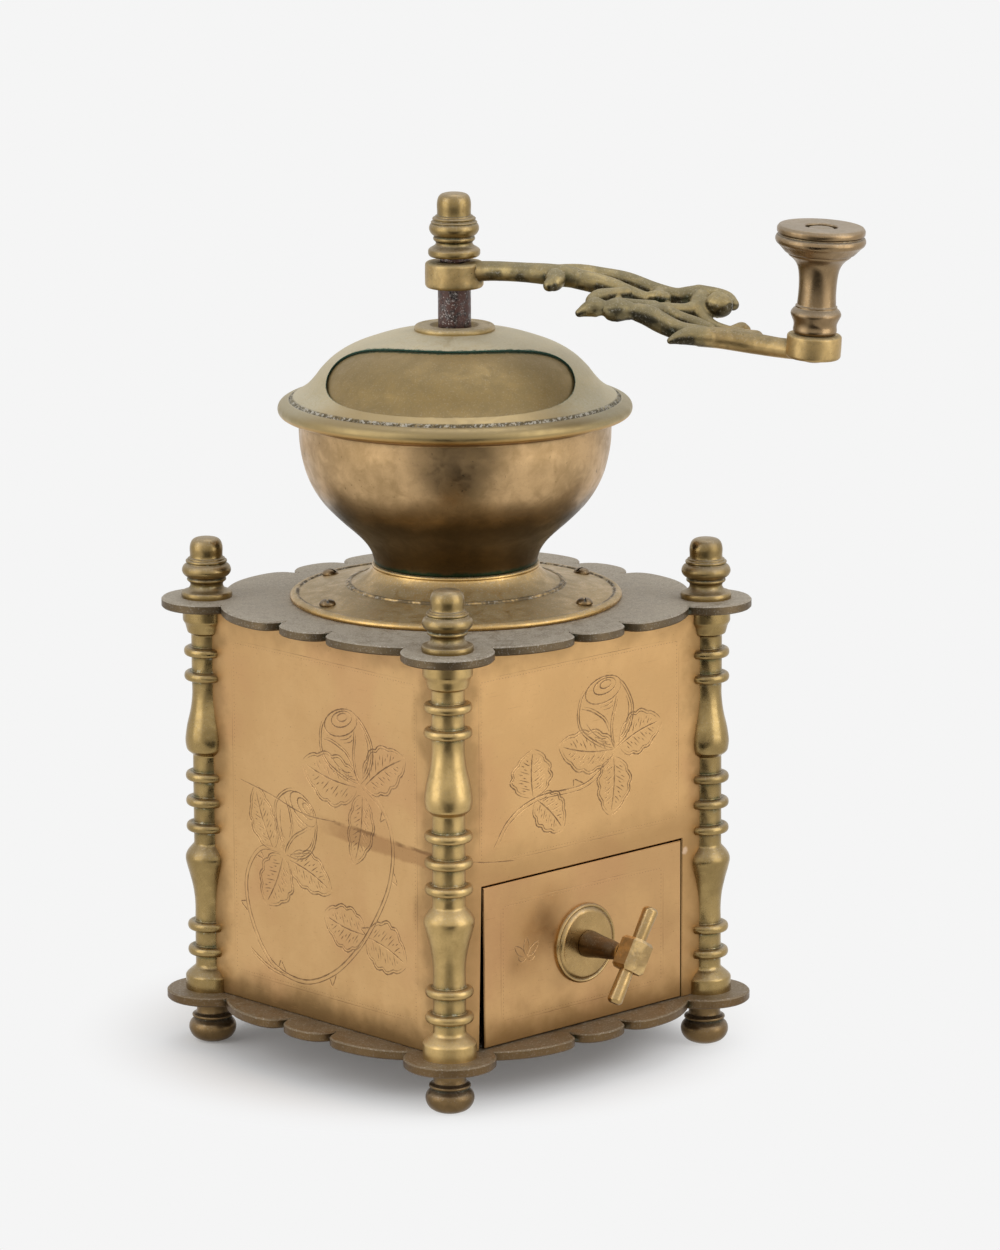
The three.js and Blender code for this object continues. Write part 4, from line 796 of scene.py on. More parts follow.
def make_world():
    world = bpy.data.worlds.new("pale_studio")
    bpy.context.scene.world = world
    g = Graph(world)
    seen = g.add("Background", {"Color": BACKDROP})
    lit = g.add("Background", {"Color": (1, 1, 1, 1), "Strength": WORLD_LIGHT})
    both = g.add("MixShader", {0: seen_ray(g), 1: lit.outputs[0], 2: seen.outputs[0]})
    g.add("OutputWorld", {0: both.outputs[0]})


def stage_sheet(name, outline, height, material):
    """A flat sheet over the ground, which isn't part of the mill."""
    sheet = loose(name, ([Vector((p[0], p[1], height)) for p in outline], [(0, 1, 2, 3)]))
    sheet.data.materials.append(material)
    return sheet


def make_floor():
    """A pale floor that keeps the shadow near the mill and becomes the plain backdrop further out."""
    g = Surface("studio_floor_paint")
    level = Vector((*polar(1, CAMERA_FACING), 0))
    middle = direction(CAMERA_FACING, 0) * SHADOW_SHIFT[0] + level * SHADOW_SHIFT[1]
    middle.z = GROUND
    plain_share = g.between(g.distance(middle), *SHADOW_REACH, 0.1, 1) * seen_ray(g)
    matt = g.add("BsdfDiffuse", {"Color": FLOOR_PAINT})
    plain = g.add("Emission", {"Color": BACKDROP})
    both = g.add("MixShader", {0: plain_share, 1: matt.outputs[0], 2: plain.outputs[0]})
    stage_sheet("studio_floor", rectangle(FLOOR_HALF, FLOOR_HALF), GROUND, g.close(both))


def make_cloth():
    """A dark cloth on the ground before the mill, that darkens the middle of every turned piece."""
    g = Surface("dark_cloth")
    (near, near_half), (far, far_half) = CLOTH
    outline = [(-near_half, -near), (-far_half, -far), (far_half, -far), (near_half, -near)]
    turn = Matrix.Rotation(CAMERA_FACING, 2)
    cloth = stage_sheet("dark_cloth", [turn @ Vector(p) for p in outline], GROUND + 1,
                        g.close(g.add("BsdfDiffuse", {"Color": CLOTH_COLOUR})))
    cloth.visible_camera = False


def soft_light(name, azimuth, elevation, distance, width, height, brightness):
    """A soft box that faces the mill; brightness is how white it looks."""
    data = bpy.data.lights.new(name, "AREA")
    data.shape = "RECTANGLE"
    data.size = width * MM
    data.size_y = height * MM
    data.energy = brightness * math.pi * data.size * data.size_y
    light = bpy.data.objects.new(name, data)
    towards = direction(CAMERA_FACING + math.radians(azimuth), math.radians(elevation))
    light.location = (AIM + towards * distance) * MM
    light.rotation_euler = towards.to_track_quat("Z", "Y").to_euler()
    light.visible_camera = False
    bpy.context.scene.collection.objects.link(light)


make_camera()
make_world()
make_floor()
make_cloth()
for light in LIGHTS:
    soft_light(*light)
bpy.context.scene.view_settings.view_transform = "Standard"


# Columns, feet, finials and plates. An outline's points have a radius, a height and how far their corner is
# rounded.

CORNERS = ("back_right", "back_left", "front_left", "front_right")
ROD_BORE = 1.9
COLUMN_R = 5.15
RING_R = 7.65
RING_THICK = 3.0
COLUMN_HEIGHT = BOX_TOP - BOX_FLOOR
LOW_RINGS = (12.8, 21)
MIDDLE_RINGS = (53.6, 62, COLUMN_HEIGHT - 55.2)
HIGH_RINGS = (COLUMN_HEIGHT - 22.5, COLUMN_HEIGHT - 14.5)
COLUMN_FOOT = [
    (ROD_BORE, 0), (8.4, 0), (8.4, 4.6, 0.5), (7.9, 5.2, 0.3), (6.6, 6.4, 0.9), (COLUMN_R, 7.6, 0.8),
]
LOW_BALUSTER = [
    (5, 27.5, 2), (5.35, 32, 3), (6.3, 36.5, 3), (7.6, 41, 2), (8.1, 43.6, 1.6), (7.3, 45.6, 1.4),
    (5.2, 47.9, 0.6), (5.15, 48.6, 0.4),
]
# These two go down from the column's head
HIGH_BALUSTER = [
    (5.1, 48.2, 0.5), (6.2, 47.4, 0.5), (7.1, 46.6, 0.9), (7.6, 43.6, 2), (6.9, 38.6, 3), (5.7, 34.1, 3),
    (5, 28.6, 3),
]
COLUMN_HEAD = [
    (COLUMN_R, 8.9, 0.4), (6.3, 8.3, 0.3), (6.6, 7.2, 0.3), (7.0, 5.6, 0.6), (7.75, 4.4, 0.4), (7.75, 0),
    (ROD_BORE, 0),
]


def rings(heights):
    """The column's rings, with a round edge and a small fillet on either side."""
    half = RING_THICK / 2
    return [point for at in heights for point in (
        (COLUMN_R, at - half, 0.3), (RING_R - 0.5, at - half + 0.1, 0.9), (RING_R, at, 0.9),
        (RING_R - 0.5, at + half - 0.1, 0.9), (COLUMN_R, at + half, 0.3))]


def from_head(points):
    return [(p[0], COLUMN_HEIGHT - p[1], *p[2:]) for p in points]


COLUMN_OUTLINE = [
    *COLUMN_FOOT, *rings(LOW_RINGS), *LOW_BALUSTER, *rings(MIDDLE_RINGS), *from_head(HIGH_BALUSTER),
    *rings(HIGH_RINGS), *from_head(COLUMN_HEAD),
]
FOOT_OUTLINE = [
    (0, 0), (3.4, 0, 0.6), (6.2, 1.1, 1.6), (7.7, 3.6, 1.8), (7.5, 6.1, 1.4), (5.9, 7.6, 0.3),
    (5.7, 7.9, 0.2), (6.6, 8.2, 0.3), (6.5, 8.9, 0.3), (5.2, 9.5, 0.4), (5, 11, 0.5), (5.4, 13.6, 0.5),
    (5.8, 14.5), (0, 14.5),
]
FINIAL_OUTLINE = [
    (0, 0), (8, 0), (8.1, 0.9, 0.5), (7.9, 1.9, 0.4), (6, 2.5, 0.6), (5.1, 3.7, 0.8), (5.3, 4.8, 0.5),
    (6.3, 5.5, 0.4), (6.2, 6.1, 0.3), (5.9, 6.4, 0.2), (7.3, 7.3, 0.8), (7.95, 8.7, 0.8),
    (7.4, 10.2, 0.7), (6.5, 10.8, 0.2), (6.3, 11.1, 0.15), (6.6, 11.5, 0.2), (6.5, 12, 0.2),
    (5.9, 12.2, 0.15), (5.9, 12.6, 0.15), (5.25, 12.9, 0.2), (5.15, 13.6, 0.8), (5.35, 16.4, 1.8),
    (4.4, 18.7, 1.6), (2.2, 19.3, 1.4), (0, 19.3),
]


def make_corner(corner, k):
    at_column = spun(k * math.pi / 2) @ Matrix.Translation((HALF, HALF, 0))
    column = turned(COLUMN_OUTLINE, at_column @ up(BOX_FLOOR), ring=True)
    finish = COLUMN if corner == "front_left" else SHADED_COLUMN
    piece("turned_column_" + corner, column, "frame", finish, "column_" + corner)
    foot = turned(FOOT_OUTLINE, at_column @ up(GROUND))
    piece("bun_foot_" + corner, foot, "frame", FOOT, "foot_" + corner)
    finial = turned(FINIAL_OUTLINE, at_column @ up(DECK))
    piece("turned_finial_" + corner, finial, "frame", FINIAL, "finial_" + corner)


for k, corner in enumerate(CORNERS):
    make_corner(corner, k)

# The plates' scalloped edge: along a side from its middle, and out from the column axes
LOBE_CUT, LOBE_NOTCH = 13.3, 5.7
SCALLOP_STEPS = 10
LOBE_STEPS = 28
PLATE_CHAMFER = 0.45
FOOT_BORE = 22.5
SCALLOP_CURVES = [
    ((-33, 13.7), (-20, 13.7)), ((-13.5, 13.7), (-12, 9.5)), ((-11.3, 8), (-10.6, 6.6)),
    ((-9.6, 14.3), (0, 14.3)), ((9.6, 14.3), (10.6, 6.6)), ((11.3, 8), (12, 9.5)),
    ((13.5, 13.7), (20, 13.7)), ((33, 13.7), (HALF - LOBE_CUT, LOBE_NOTCH)),
]


def scalloped_edge():
    """The plate's outline in plan, anticlockwise."""
    outline = []
    radius = math.hypot(LOBE_CUT, LOBE_NOTCH)
    spread = math.pi / 4 + math.atan2(LOBE_CUT, LOBE_NOTCH)
    for quarter in range(4):
        turn = Matrix.Rotation(quarter * math.pi / 2, 2)
        at = Vector((LOBE_CUT - HALF, LOBE_NOTCH))
        for via, to in SCALLOP_CURVES:
            side = [bend(at, Vector(via), Vector(to), i / SCALLOP_STEPS) for i in range(SCALLOP_STEPS)]
            outline += [turn @ Vector((p.x, -p.y - HALF)) for p in side]
            at = Vector(to)
        for i in range(LOBE_STEPS):
            angle = -math.pi / 4 - spread + 2 * spread * i / LOBE_STEPS
            outline.append(turn @ (Vector((HALF, -HALF)) + Vector(polar(radius, angle))))
    return outline


def make_plate(node, finish):
    name, bottom = "scalloped_" + node, lowest(node)
    plate = loose(name, prism(scalloped_edge(), bottom, bottom + PLATE, PLATE_CHAMFER))
    if node == "top_plate":
        cut(plate, cylinder(FOOT_BORE, bottom - 1, bottom + PLATE + 1))
    finish_piece(plate, "frame", finish, node, sharp=25)


make_plate("bottom_plate", LOW_SCALLOP)
make_plate("top_plate", SCALLOP)


# Hopper: foot, bowl, dome, shutter and collar

HOPPER_FOOT_OUTLINE = [
    (FOOT_BORE, 0), (52, 0), (52.7, 0.5, 0.4), (52.6, 1.5, 0.5), (51.6, 2.3, 0.5), (50.4, 2.3, 0.4),
    (50, 1.9, 0.2), (49.2, 2, 0.3), (35.2, 4.5, 0.5), (34.6, 4.7, 0.15), (34.3, 5.3, 0.2),
    (33.5, 5.4, 0.2), (33.1, 5.1, 0.2), (31, 6, 1.5), (28, 8, 2), (26.4, 10.3, 0.8), (26.6, 10.9, 0.2),
    (26.4, 11.4, 0.2), (25.2, 11.6), (FOOT_BORE, 11.6),
]
piece("flared_hopper_foot", turned(HOPPER_FOOT_OUTLINE, up(DECK), ROUND, ring=True), "frame",
      HOPPER_FOOT, "hopper_foot")

BOWL_OUTSIDE = [
    (20.7, -6), (22.2, -6), (22.2, 0), (25.9, 0, 0.5), (26, 1.6, 1), (27.2, 5, 3), (30.4, 9, 4),
    (37.1, 14.8, 4), (42.9, 20.8, 4), (47, 28.2, 4), (49.2, 37.5, 4), (49.4, 46, 0.6), (52, 47.2, 0.2),
    (52, 48.5, 0.2),
]
BOWL_INSIDE = [
    (48, 48.5, 0.4), (48, 37.7, 4), (45.7, 28.9, 4), (41.7, 21.8, 4), (36, 15.9, 4), (29.2, 10, 4),
    (26, 6, 3), (24.4, 1.4, 1), (20.7, 1.4, 0.3),
]
piece("turned_bowl", turned([*BOWL_OUTSIDE, *BOWL_INSIDE], up(NECK), ROUND, ring=True), "frame",
      BOWL, "hopper_bowl")

# The dome: its curve from the rim inwards, and its rolled rim
DOME_CURVE = [
    (51.7, 4.5), (47.4, 7.3), (44.6, 10.2), (42.1, 13.4), (38.3, 17), (33.4, 20), (27.3, 22.4), (20.6, 24.4),
    (12.7, 25.7),
]
CURVE_START = (51.3, 4.7)
RIM_OUTLINE = [
    (52.3, 0), (52.3, -1.1, 0.2), (54, -1.3, 0.8), (55.6, -0.4, 0.8), (56.1, 1.2, 1.2), (55.4, 2.9, 1.2),
    (53.6, 3.9, 0.9), (52.4, 4, 0.2), (52, 3.7, 0.2), (51.6, 4.2, 0.2),
]
DOME_WALL = 0.5
DOME_BORE = 8.5
RIM_BORE = 50.6
HATCH_WALL = (20, 50.4)  # radii that the hatch's own walls lie between
HATCH_STEPS = 160
SHUTTER_GAP = 0.8
SHUTTER_WALL = 0.8
SHUTTER_EDGE = 49.9
SHUTTER_HUB = 15
SHUTTER_HALF_ANGLE = math.radians(78)
FAN_STEPS = 32
FAN_REACH = 90


def inset(curve, wall):
    """A curve moved inwards, square to itself."""
    return beside([Vector(p) for p in curve], wall)


def hatch_outline():
    """The filling opening in plan: a curved slot with round ends."""
    made = []
    for i in range(HATCH_STEPS):
        t = 2 * math.pi * i / HATCH_STEPS
        spread = math.copysign(abs(math.sin(t)) ** (2 / 3), math.sin(t))
        r = HATCH_MIDDLE_R + HATCH_HALF_DEPTH * math.cos(t)
        made.append(polar(r, HATCH_HALF_ANGLE * spread + HATCH_FACING))
    return made


def make_dome():
    curve = flow([CURVE_START, *DOME_CURVE[1:]])  # the rim covers the curve's own first point
    inside = inset(curve, DOME_WALL)
    top = DOME_CURVE[-1][1]
    outline = [
        (RIM_BORE, 0), *rounded([*RIM_OUTLINE, CURVE_START]), *curve[1:], (DOME_BORE, top),
        (DOME_BORE, top - DOME_WALL), *reversed(inside[1:]), (RIM_BORE, inside[0].y),
    ]
    dome = loose("pierced_dome", moved(lathe(outline, DOME_ROUND, ring=True), up(DOME_SEAT)))
    cut(dome, prism(hatch_outline(), DOME_SEAT - 2, DOME_TOP + 5))
    mesh = dome.data
    # The hatch's walls are marked, for the painted shade and verdigris that they carry
    walls = mesh.attributes.new("hatch_wall", "FLOAT", "FACE")
    for face in mesh.polygons:
        reach = math.hypot(face.center.x, face.center.y) / MM
        walls.data[face.index].value = abs(face.normal.z) < 0.05 and HATCH_WALL[0] < reach < HATCH_WALL[1]
    finish_piece(dome, "frame", DOME, "dome_lid", sharp=30)


def under_dome(depth):
    """The dome's curve moved inwards, within the shutter's edge."""
    return [p for p in flow(inset(flow(DOME_CURVE), depth)[::3], 3) if p.x < SHUTTER_EDGE]


def make_shutter():
    """The shutter is a fan of the dome's own curve, turning just under it."""
    upper = under_dome(SHUTTER_GAP)
    foot = inset(DOME_CURVE, SHUTTER_GAP)[0].y
    top = upper[-1].y
    outline = [
        (DOME_BORE, top - SHUTTER_WALL), *reversed(under_dome(SHUTTER_GAP + SHUTTER_WALL)),
        (SHUTTER_EDGE, foot - SHUTTER_WALL), (SHUTTER_EDGE, foot), *upper, (DOME_BORE, top),
    ]
    shutter = loose("turning_shutter", moved(lathe(outline, DOME_ROUND, ring=True), up(DOME_SEAT)))
    fan = [(0, 0)]
    for i in range(FAN_STEPS + 1):
        angle = HATCH_FACING - SHUTTER_HALF_ANGLE + 2 * SHUTTER_HALF_ANGLE * i / FAN_STEPS
        fan.append(polar(FAN_REACH, angle))
    keep = loose("fan", prism(fan, DOME_SEAT - 10, DOME_TOP + 5))
    fuse(keep, cylinder(SHUTTER_HUB, DOME_SEAT, DOME_TOP + 4))
    combine(shutter, keep, "INTERSECT")
    finish_piece(shutter, "shutter", SHUTTER, "dome_shutter", sharp=30)


make_dome()
make_shutter()

COLLAR_OUTLINE = [
    (5.5, -5.5), (8.2, -5.5), (8.2, 0), (12.7, 0), (12.8, 0.8, 0.4), (12.3, 1.7, 0.5), (11.2, 1.75, 0.4),
    (10.6, 1.5, 0.3), (7.8, 1.7, 0.3), (7.4, 1.2, 0.3), (6.9, 0.3, 0.3), (6.3, 0, 0.2), (5.5, -1),
]
piece("dome_collar_ring", turned(COLLAR_OUTLINE, up(DOME_TOP), ring=True), "frame", COLLAR,
      "dome_collar")


# Crank: shaft, arm, washer, finial nut and knob

SHAFT_FOOT = lowest("crank_shaft")
SHAFT_R = 5.2
SHAFT_END_R = 4
THREAD_R = 3.2
THREAD_TOP = NUT_SEAT + 12
TANG_HALF = 3.7
SHAFT_OUTLINE = [
    (0, SHAFT_FOOT), (3.6, SHAFT_FOOT, 0.3), (SHAFT_END_R, SHAFT_FOOT + 0.5, 0.3),
    (SHAFT_END_R, SHAFT_FOOT + 5.5), (SHAFT_R, SHAFT_FOOT + 5.5), (SHAFT_R, CRANK_SEAT),
    (THREAD_R, CRANK_SEAT), (THREAD_R, THREAD_TOP - 0.5, 0.4), (2.8, THREAD_TOP), (0, THREAD_TOP),
]
shaft = loose("turned_shaft", lathe(rounded(SHAFT_OUTLINE)))
tang = prism(rectangle(TANG_HALF, TANG_HALF), CRANK_SEAT - 1, CRANK_TOP - 0.3, 0.2)
fuse(shaft, moved(tang, spun(CRANK_ANGLE)))
finish_piece(shaft, "crank", SHAFT, "crank_shaft")

WASHER_OUTLINE = [(3.5, 0), (4.4, 0, 0.2), (4.6, 0.3, 0.2), (4.6, 1.4, 0.2), (4.3, 1.7), (3.5, 1.7)]
CRANK_NUT_OUTLINE = [
    (3.5, 0), (7.7, 0, 0.3), (8.2, 0.7, 0.4), (8.2, 2.1, 0.4), (7.5, 2.7, 0.4), (6, 3.5, 0.8),
    (5.7, 4.5, 0.4), (6.6, 5.3, 0.4), (6.6, 6, 0.3), (6.2, 6.4, 0.2), (7.3, 7.2, 0.8), (8, 8.7, 0.9),
    (7.6, 10.1, 0.7), (7.1, 10.5, 0.15), (7.35, 10.8, 0.1), (7.1, 11.1, 0.15), (6.6, 11.4, 0.2),
    (6.9, 12, 0.2), (6.5, 12.4, 0.15), (6.0, 12.5, 0.15), (5.9, 12.9, 0.1), (5.35, 13, 0.2),
    (5.3, 14, 0.8), (5.45, 17.2, 2), (4.6, 19.6, 1.6), (2, 20.2, 1.2), (0, 20.2), (0, 12.3), (3.5, 12.3),
    (3.5, 0),
]
KNOB_OUTLINE = [
    (2.9, 0.3), (6.4, 0.3, 0.2), (6.8, 1.2, 0.6), (6.5, 3.2, 1), (7.3, 5, 1), (7.95, 6.4, 0.8),
    (7.2, 7.6, 0.6), (6.4, 8.3, 0.2), (6.45, 8.8, 0.15), (6, 9.1, 0.3), (5.75, 13, 3), (5.85, 17, 3),
    (6.3, 20.5, 2), (7.6, 22.8, 1.5), (9.6, 24.3, 0.5), (10, 25, 0.2), (10.7, 25.2, 0.3),
    (12.6, 27.3, 1), (13.3, 27.9, 0.3), (13.6, 28.2, 0.2), (14, 29.2, 0.6), (13.6, 30.3, 0.4),
    (13, 30.6, 0.2), (13, 31, 0.2), (13.5, 31.3, 0.3), (13.6, 32.6, 0.4), (12.9, 33.6, 0.4),
    (5.4, 33.5, 0.3), (5, 33.1, 0.2), (5, 31.9, 0.2), (2.9, 31.9),
]
PIN_OUTLINE = [
    (0, -8.8), (2.6, -8.7, 0.8), (4.2, -7.7, 0.3), (2.6, -7.7), (2.6, 32.2), (4.2, 32.2, 0.2),
    (3.9, 32.9, 0.4), (1.6, 33.3, 0.8), (0, 33.3),
]
piece("plain_crank_washer", turned(WASHER_OUTLINE, up(CRANK_TOP), ring=True), "crank", SHAFT,
      "crank_washer")
piece("crank_finial_nut", turned(CRANK_NUT_OUTLINE, up(NUT_SEAT)), "crank", FINIAL,
      "crank_finial")
piece("turned_knob", turned(KNOB_OUTLINE, AT_KNOB, ROUND, ring=True), "knob", KNOB,
      "crank_knob")
piece("riveted_knob_pin", turned(PIN_OUTLINE, AT_KNOB), "crank", KNOB, "knob_pin")

# Scrolls of the arm: along the arm, to the side that faces the drawer's left, over the boss's foot, radius
ARM_SCROLLS = {
    "shaft_stem": [
        (5, 0, 5.2, 3.2), (13.8, 0, 5.9, 3), (24, 0, 6.1, 3), (33, -1, 5.8, 3.3), (40, -3, 5, 3.2),
    ],
    "near_bud": [(35.5, 2.5, 6.3, 2.2), (37, 5, 5.6, 3), (37.3, 7.5, 4.7, 2.7), (36.7, 9.2, 4.1, 1.8)],
    "near_branch": [
        (38, -3.5, 5, 3.1), (44, -4.2, 3.9, 3.1), (50.4, -6, 2.3, 3), (57, -6.6, 0.3, 2.6),
        (62.6, -8, -1.5, 2.3), (66.3, -9, -2.1, 2.1),
    ],
    "near_branch_bud": [(63.4, -8, -0.6, 1.9), (65.8, -8, -0.2, 2.1), (68.1, -8.5, -0.5, 1.9)],
    "far_branch": [
        (31, -2, 5.9, 2.6), (37, -12, 5, 2.7), (43.1, -17.5, 3.5, 2.7), (50.5, -20, 2.1, 2.7),
        (59, -21, -0.5, 2.6), (66, -21.5, -2, 2.6), (69.7, -23, -1.6, 2.6), (72.7, -25, -1.3, 2.8),
    ],
    "far_neck": [(61.5, -19, -1.3, 2.2), (65.4, -11, -1.2, 2)],
    "far_leaf": [
        (72.7, -25, -1.3, 2.8), (77.8, -27.5, -2.3, 2.7), (81.1, -27.5, -3.1, 2.5), (84.2, -25, -4, 1.8),
    ],
    "big_bud": [(79.3, -19, -3.8, 2.9), (81.8, -18, -3.2, 4.1), (83.1, -17.5, -3.2, 3.8)],
    "knob_stem": [
        (116, 0, -12, 3.1), (109.9, 0, -11.9, 3), (99.8, 0, -11, 3.2), (92, 3, -9.7, 3.2), (86, 6, -9.2, 3),
    ],
    "leaf_tip": [(89, 5, -9.3, 3), (84.2, 8.4, -8.7, 2.8), (81.1, 11, -9.1, 2), (79.1, 12.8, -9.8, 1)],
    "inner_branch": [
        (101.4, -2, -9.7, 2.2), (94.7, -6, -9.9, 1.9), (88.5, -9, -9.7, 1.9), (82.9, -11.5, -8.9, 2),
        (79.1, -14, -7.1, 2.2), (75.6, -18, -4.2, 2.9), (74.4, -22, -2.2, 2.7),
    ],
    "side_bud": [(91.5, -9, -9, 1.6), (93.3, -10, -8.7, 2), (94.3, -10.5, -9.1, 1.6)],
    "return_branch": [
        (89, 3, -9.5, 2.6), (84.4, 4, -8.8, 2.8), (79.7, 5, -8.2, 2.9), (76.3, 6.2, -6.9, 3),
        (73, 7, -5.3, 3.2), (69.9, 8, -3.5, 3.2), (66.8, 9.2, -2.4, 2.8),
    ],
    "round_bud": [(64.1, 10.6, -1.8, 2.8), (61.2, 12, -1.5, 3.7), (59.9, 12.4, -1.6, 3.5)],
    "pointed_bud": [
        (57.1, 13, -1, 2.1), (54.5, 14.2, -0.8, 3), (52, 15.2, -1.6, 2.2), (50.2, 16.6, -2.5, 1.2),
    ],
    "back_leaf": [
        (56.8, -4, 0.9, 2), (55.2, 0.5, 1.2, 2), (54.2, 4, 1.4, 2.1), (53, 8, 1.4, 2.3), (52, 10.5, 0.4, 2.1),
        (53.4, 12.5, -0.5, 1.9),
    ],
    "near_web": [(56, 2, -1.5, 2), (62, 3, -1.9, 2.4), (68, 0, -2.4, 2.4)],
    "low_web": [(72.3, -2, -4.2, 2.2), (76, -4, -6.1, 2.2), (80.1, -5, -7.4, 2.2), (85, -4, -8.7, 2)],
    "far_web": [
        (75.6, -17, -4.3, 2.6), (73.7, -13, -4.9, 2.4), (71.8, -8, -4.3, 2.4), (69.7, -3, -3.3, 2.3),
        (69, 4, -2.9, 2.2),
    ],
}
ARM_FLAT = 0.98
ARM_VOXEL = 0.36
ARM_SHRINKAGE = 0.2  # lost by the smoothing
ARM_FILLET = 0.4  # the stems are swollen by this, joined, and shrunk again, which fills their corners
STEM_SIDES = 18
STEM_CAP = [(0.98, 0.2), (0.8, 0.6), (0.4, 0.92)]  # shares of the radius, across and outwards
BOSS_OUTLINE = [
    (0, 0), (8.6, 0, 0.3), (9.2, 0.7, 0.5), (9.25, 4, 1), (9.2, 7.5, 0.5), (8.6, CRANK_BOSS, 0.4),
    (0, CRANK_BOSS),
]
KNOB_BOSS_OUTLINE = [
    (0, -KNOB_BOSS), (7.8, -KNOB_BOSS, 0.3), (8.4, -6.8, 0.5), (8.45, -3.7, 1), (8.4, -0.5, 0.4),
    (7.9, 0, 0.3), (0, 0),
]
SQUARE_HALF = 4  # of the hole for the shaft's tang


def stem(points):
    """A cast stem through points with radii, a little flattened, with round ends."""
    line = flow([(x, -s, z, r) for x, s, z, r in points], 8)
    centres = [Vector(p[:3]) for p in line]
    last = len(line) - 1
    rings = []
    for i, centre in enumerate(centres):
        along = (centres[min(i + 1, last)] - centres[max(i - 1, 0)]).normalized()
        rings.append((centre, along, line[i][3] + ARM_FILLET))
    (start, ahead, r), (end, onward, s) = rings[0], rings[-1]
    before = [(start - ahead * r * out, ahead, r * size) for size, out in reversed(STEM_CAP)]
    after = [(end + onward * s * out, onward, s * size) for size, out in STEM_CAP]
    return skin([ring_of(*ring) for ring in (*before, *rings, *after)])


def ring_of(centre, along, radius):
    side = Vector((-along.y, along.x, 0)).normalized() * radius
    upwards = along.cross(side) * ARM_FLAT
    turns = [2 * math.pi * i / STEM_SIDES for i in range(STEM_SIDES)]
    return [centre + side * math.cos(a) + upwards * math.sin(a) for a in turns]


def make_arm():
    scrolls = joined(*(stem(points) for points in ARM_SCROLLS.values()))
    arm = loose("cast_scroll_arm", moved(scrolls, AT_CRANK))
    cast = arm.modifiers.new("cast", "REMESH")
    cast.mode = "VOXEL"
    cast.voxel_size = ARM_VOXEL * MM
    smooth = arm.modifiers.new("soften", "SMOOTH")
    smooth.factor = 0.5
    smooth.iterations = 3
    shrunk = arm.modifiers.new("shrink", "DISPLACE")
    shrunk.mid_level = 0
    shrunk.strength = (ARM_SHRINKAGE - ARM_FILLET) * MM
    apply(arm)
    fuse(arm, turned(BOSS_OUTLINE, AT_CRANK))
    fuse(arm, turned(KNOB_BOSS_OUTLINE, AT_KNOB))
    cut(arm, moved(prism(rectangle(SQUARE_HALF, SQUARE_HALF), -1, CRANK_BOSS + 1), AT_CRANK))
    finish_piece(arm, "crank", ARM, "crank_arm", sharp=40)


make_arm()


# Engraving

OUTLINE_CUT = 0.72
FINE_CUT = 0.5
SCRIBED_CUT = 0.26
PUNCHED_CUT = 0.36
SECOND_CUT = 0.85  # from an outline to the finer cut beside it
CUT_DEPTH = 0.09  # of a line half a millimetre wide
SHEET_EDGE = 0.3  # width and depth of the bevel round a sheet's face

# A rose over its calyx, for a rose of height 1: its doubled outlines, its rings with their place, half width
# and half height, and its finer strokes
ROSE_OUTLINES = [
    [(0, 0), (-0.25, 0.15), (-0.5, 0.38), (-0.56, 0.58), (-0.48, 0.81), (-0.36, 0.93)],
    [(0, 0), (0.2, 0.1), (0.35, 0.27), (0.4, 0.51), (0.3, 0.78), (0.18, 0.92)],
    [(-0.52, 0.7), (-0.35, 0.62), (-0.21, 0.51), (-0.12, 0.41), (-0.06, 0.23)],
    [(0.13, 0.7), (0.07, 0.56), (-0.02, 0.36), (-0.04, 0.14), (0, 0)],
]
ROSE_RINGS = [(-0.09, 0.83, 0.32, 0.17), (-0.06, 0.87, 0.2, 0.1), (-0.04, 0.89, 0.1, 0.05)]
ROSE_LINES = [
    [(0.29, 0.66), (0.32, 0.48), (0.24, 0.25), (0.06, 0.05)],
    [(-0.46, 0.5), (-0.34, 0.32), (-0.12, 0.12)],
    [(-0.34, 0.27), (-0.22, 0.21), (-0.1, 0.18)],
    [(-0.28, 0.21), (-0.18, 0.15), (-0.08, 0.12)],
    [(-0.2, 0.14), (-0.12, 0.1), (-0.05, 0.07)],
    [(0.1, 0.12), (0.2, 0.2), (0.27, 0.3)],
    [(-0.2, 0.62), (-0.04, 0.61), (0.09, 0.65)],
    [(-0.14, 0.57), (0, 0.56), (0.07, 0.59)],
]

# The ornament, to the right of a panel's middle and over the bottom plate. A rose has its calyx's place, its
# height and its turn in degrees, a leaf its base, its tip and its width.
SPRAY_ROSES = [(18, 83, 24.5, 19), (-17.5, 54.5, 22, -35)]
SPRAY_LEAVES = [
    ((20, 83), (38.8, 95), 15), ((17, 82), (-9, 86), 17), ((19, 80), (15, 57), 12),
    ((-23, 55), (-31.5, 74.5), 12), ((-18.5, 53.5), (-27, 36.5), 16), ((-16, 53), (4.5, 46), 13),
    ((20, 35.2), (0.5, 38.5), 15), ((20.2, 34.8), (39, 29), 17),
]
SPRAY_STEM = [
    (18, 82.8), (28, 76.5), (32.2, 66.2), (30.5, 53.5), (24, 41), (15.5, 29.8), (4, 20), (-9.8, 14.9),
    (-24.5, 18.5), (-33.5, 31.2), (-35.4, 43.8), (-29.1, 53.5), (-18.8, 54.5),
]
SPRAY_TAIL = [(-17, 15.1), (-23.5, 15.8), (-29.1, 17.9), (-35, 21.2)]
SPRAY_SCRATCH = [(-39.8, 75.4), (-24.8, 72.8), (-8.5, 69.1), (7.5, 69.2)]
FRONT_ROSES = [(13.5, 89.5, 24.5, 8)]
FRONT_LEAVES = [
    ((13.5, 89.4), (-11, 94.5), 14), ((15.5, 90.2), (34.2, 95.5), 14), ((13, 87.2), (11.5, 68.3), 15),
    ((-22, 79.8), (-22, 95.3), 18), ((-20.8, 79.2), (-9, 67.5), 13),
]
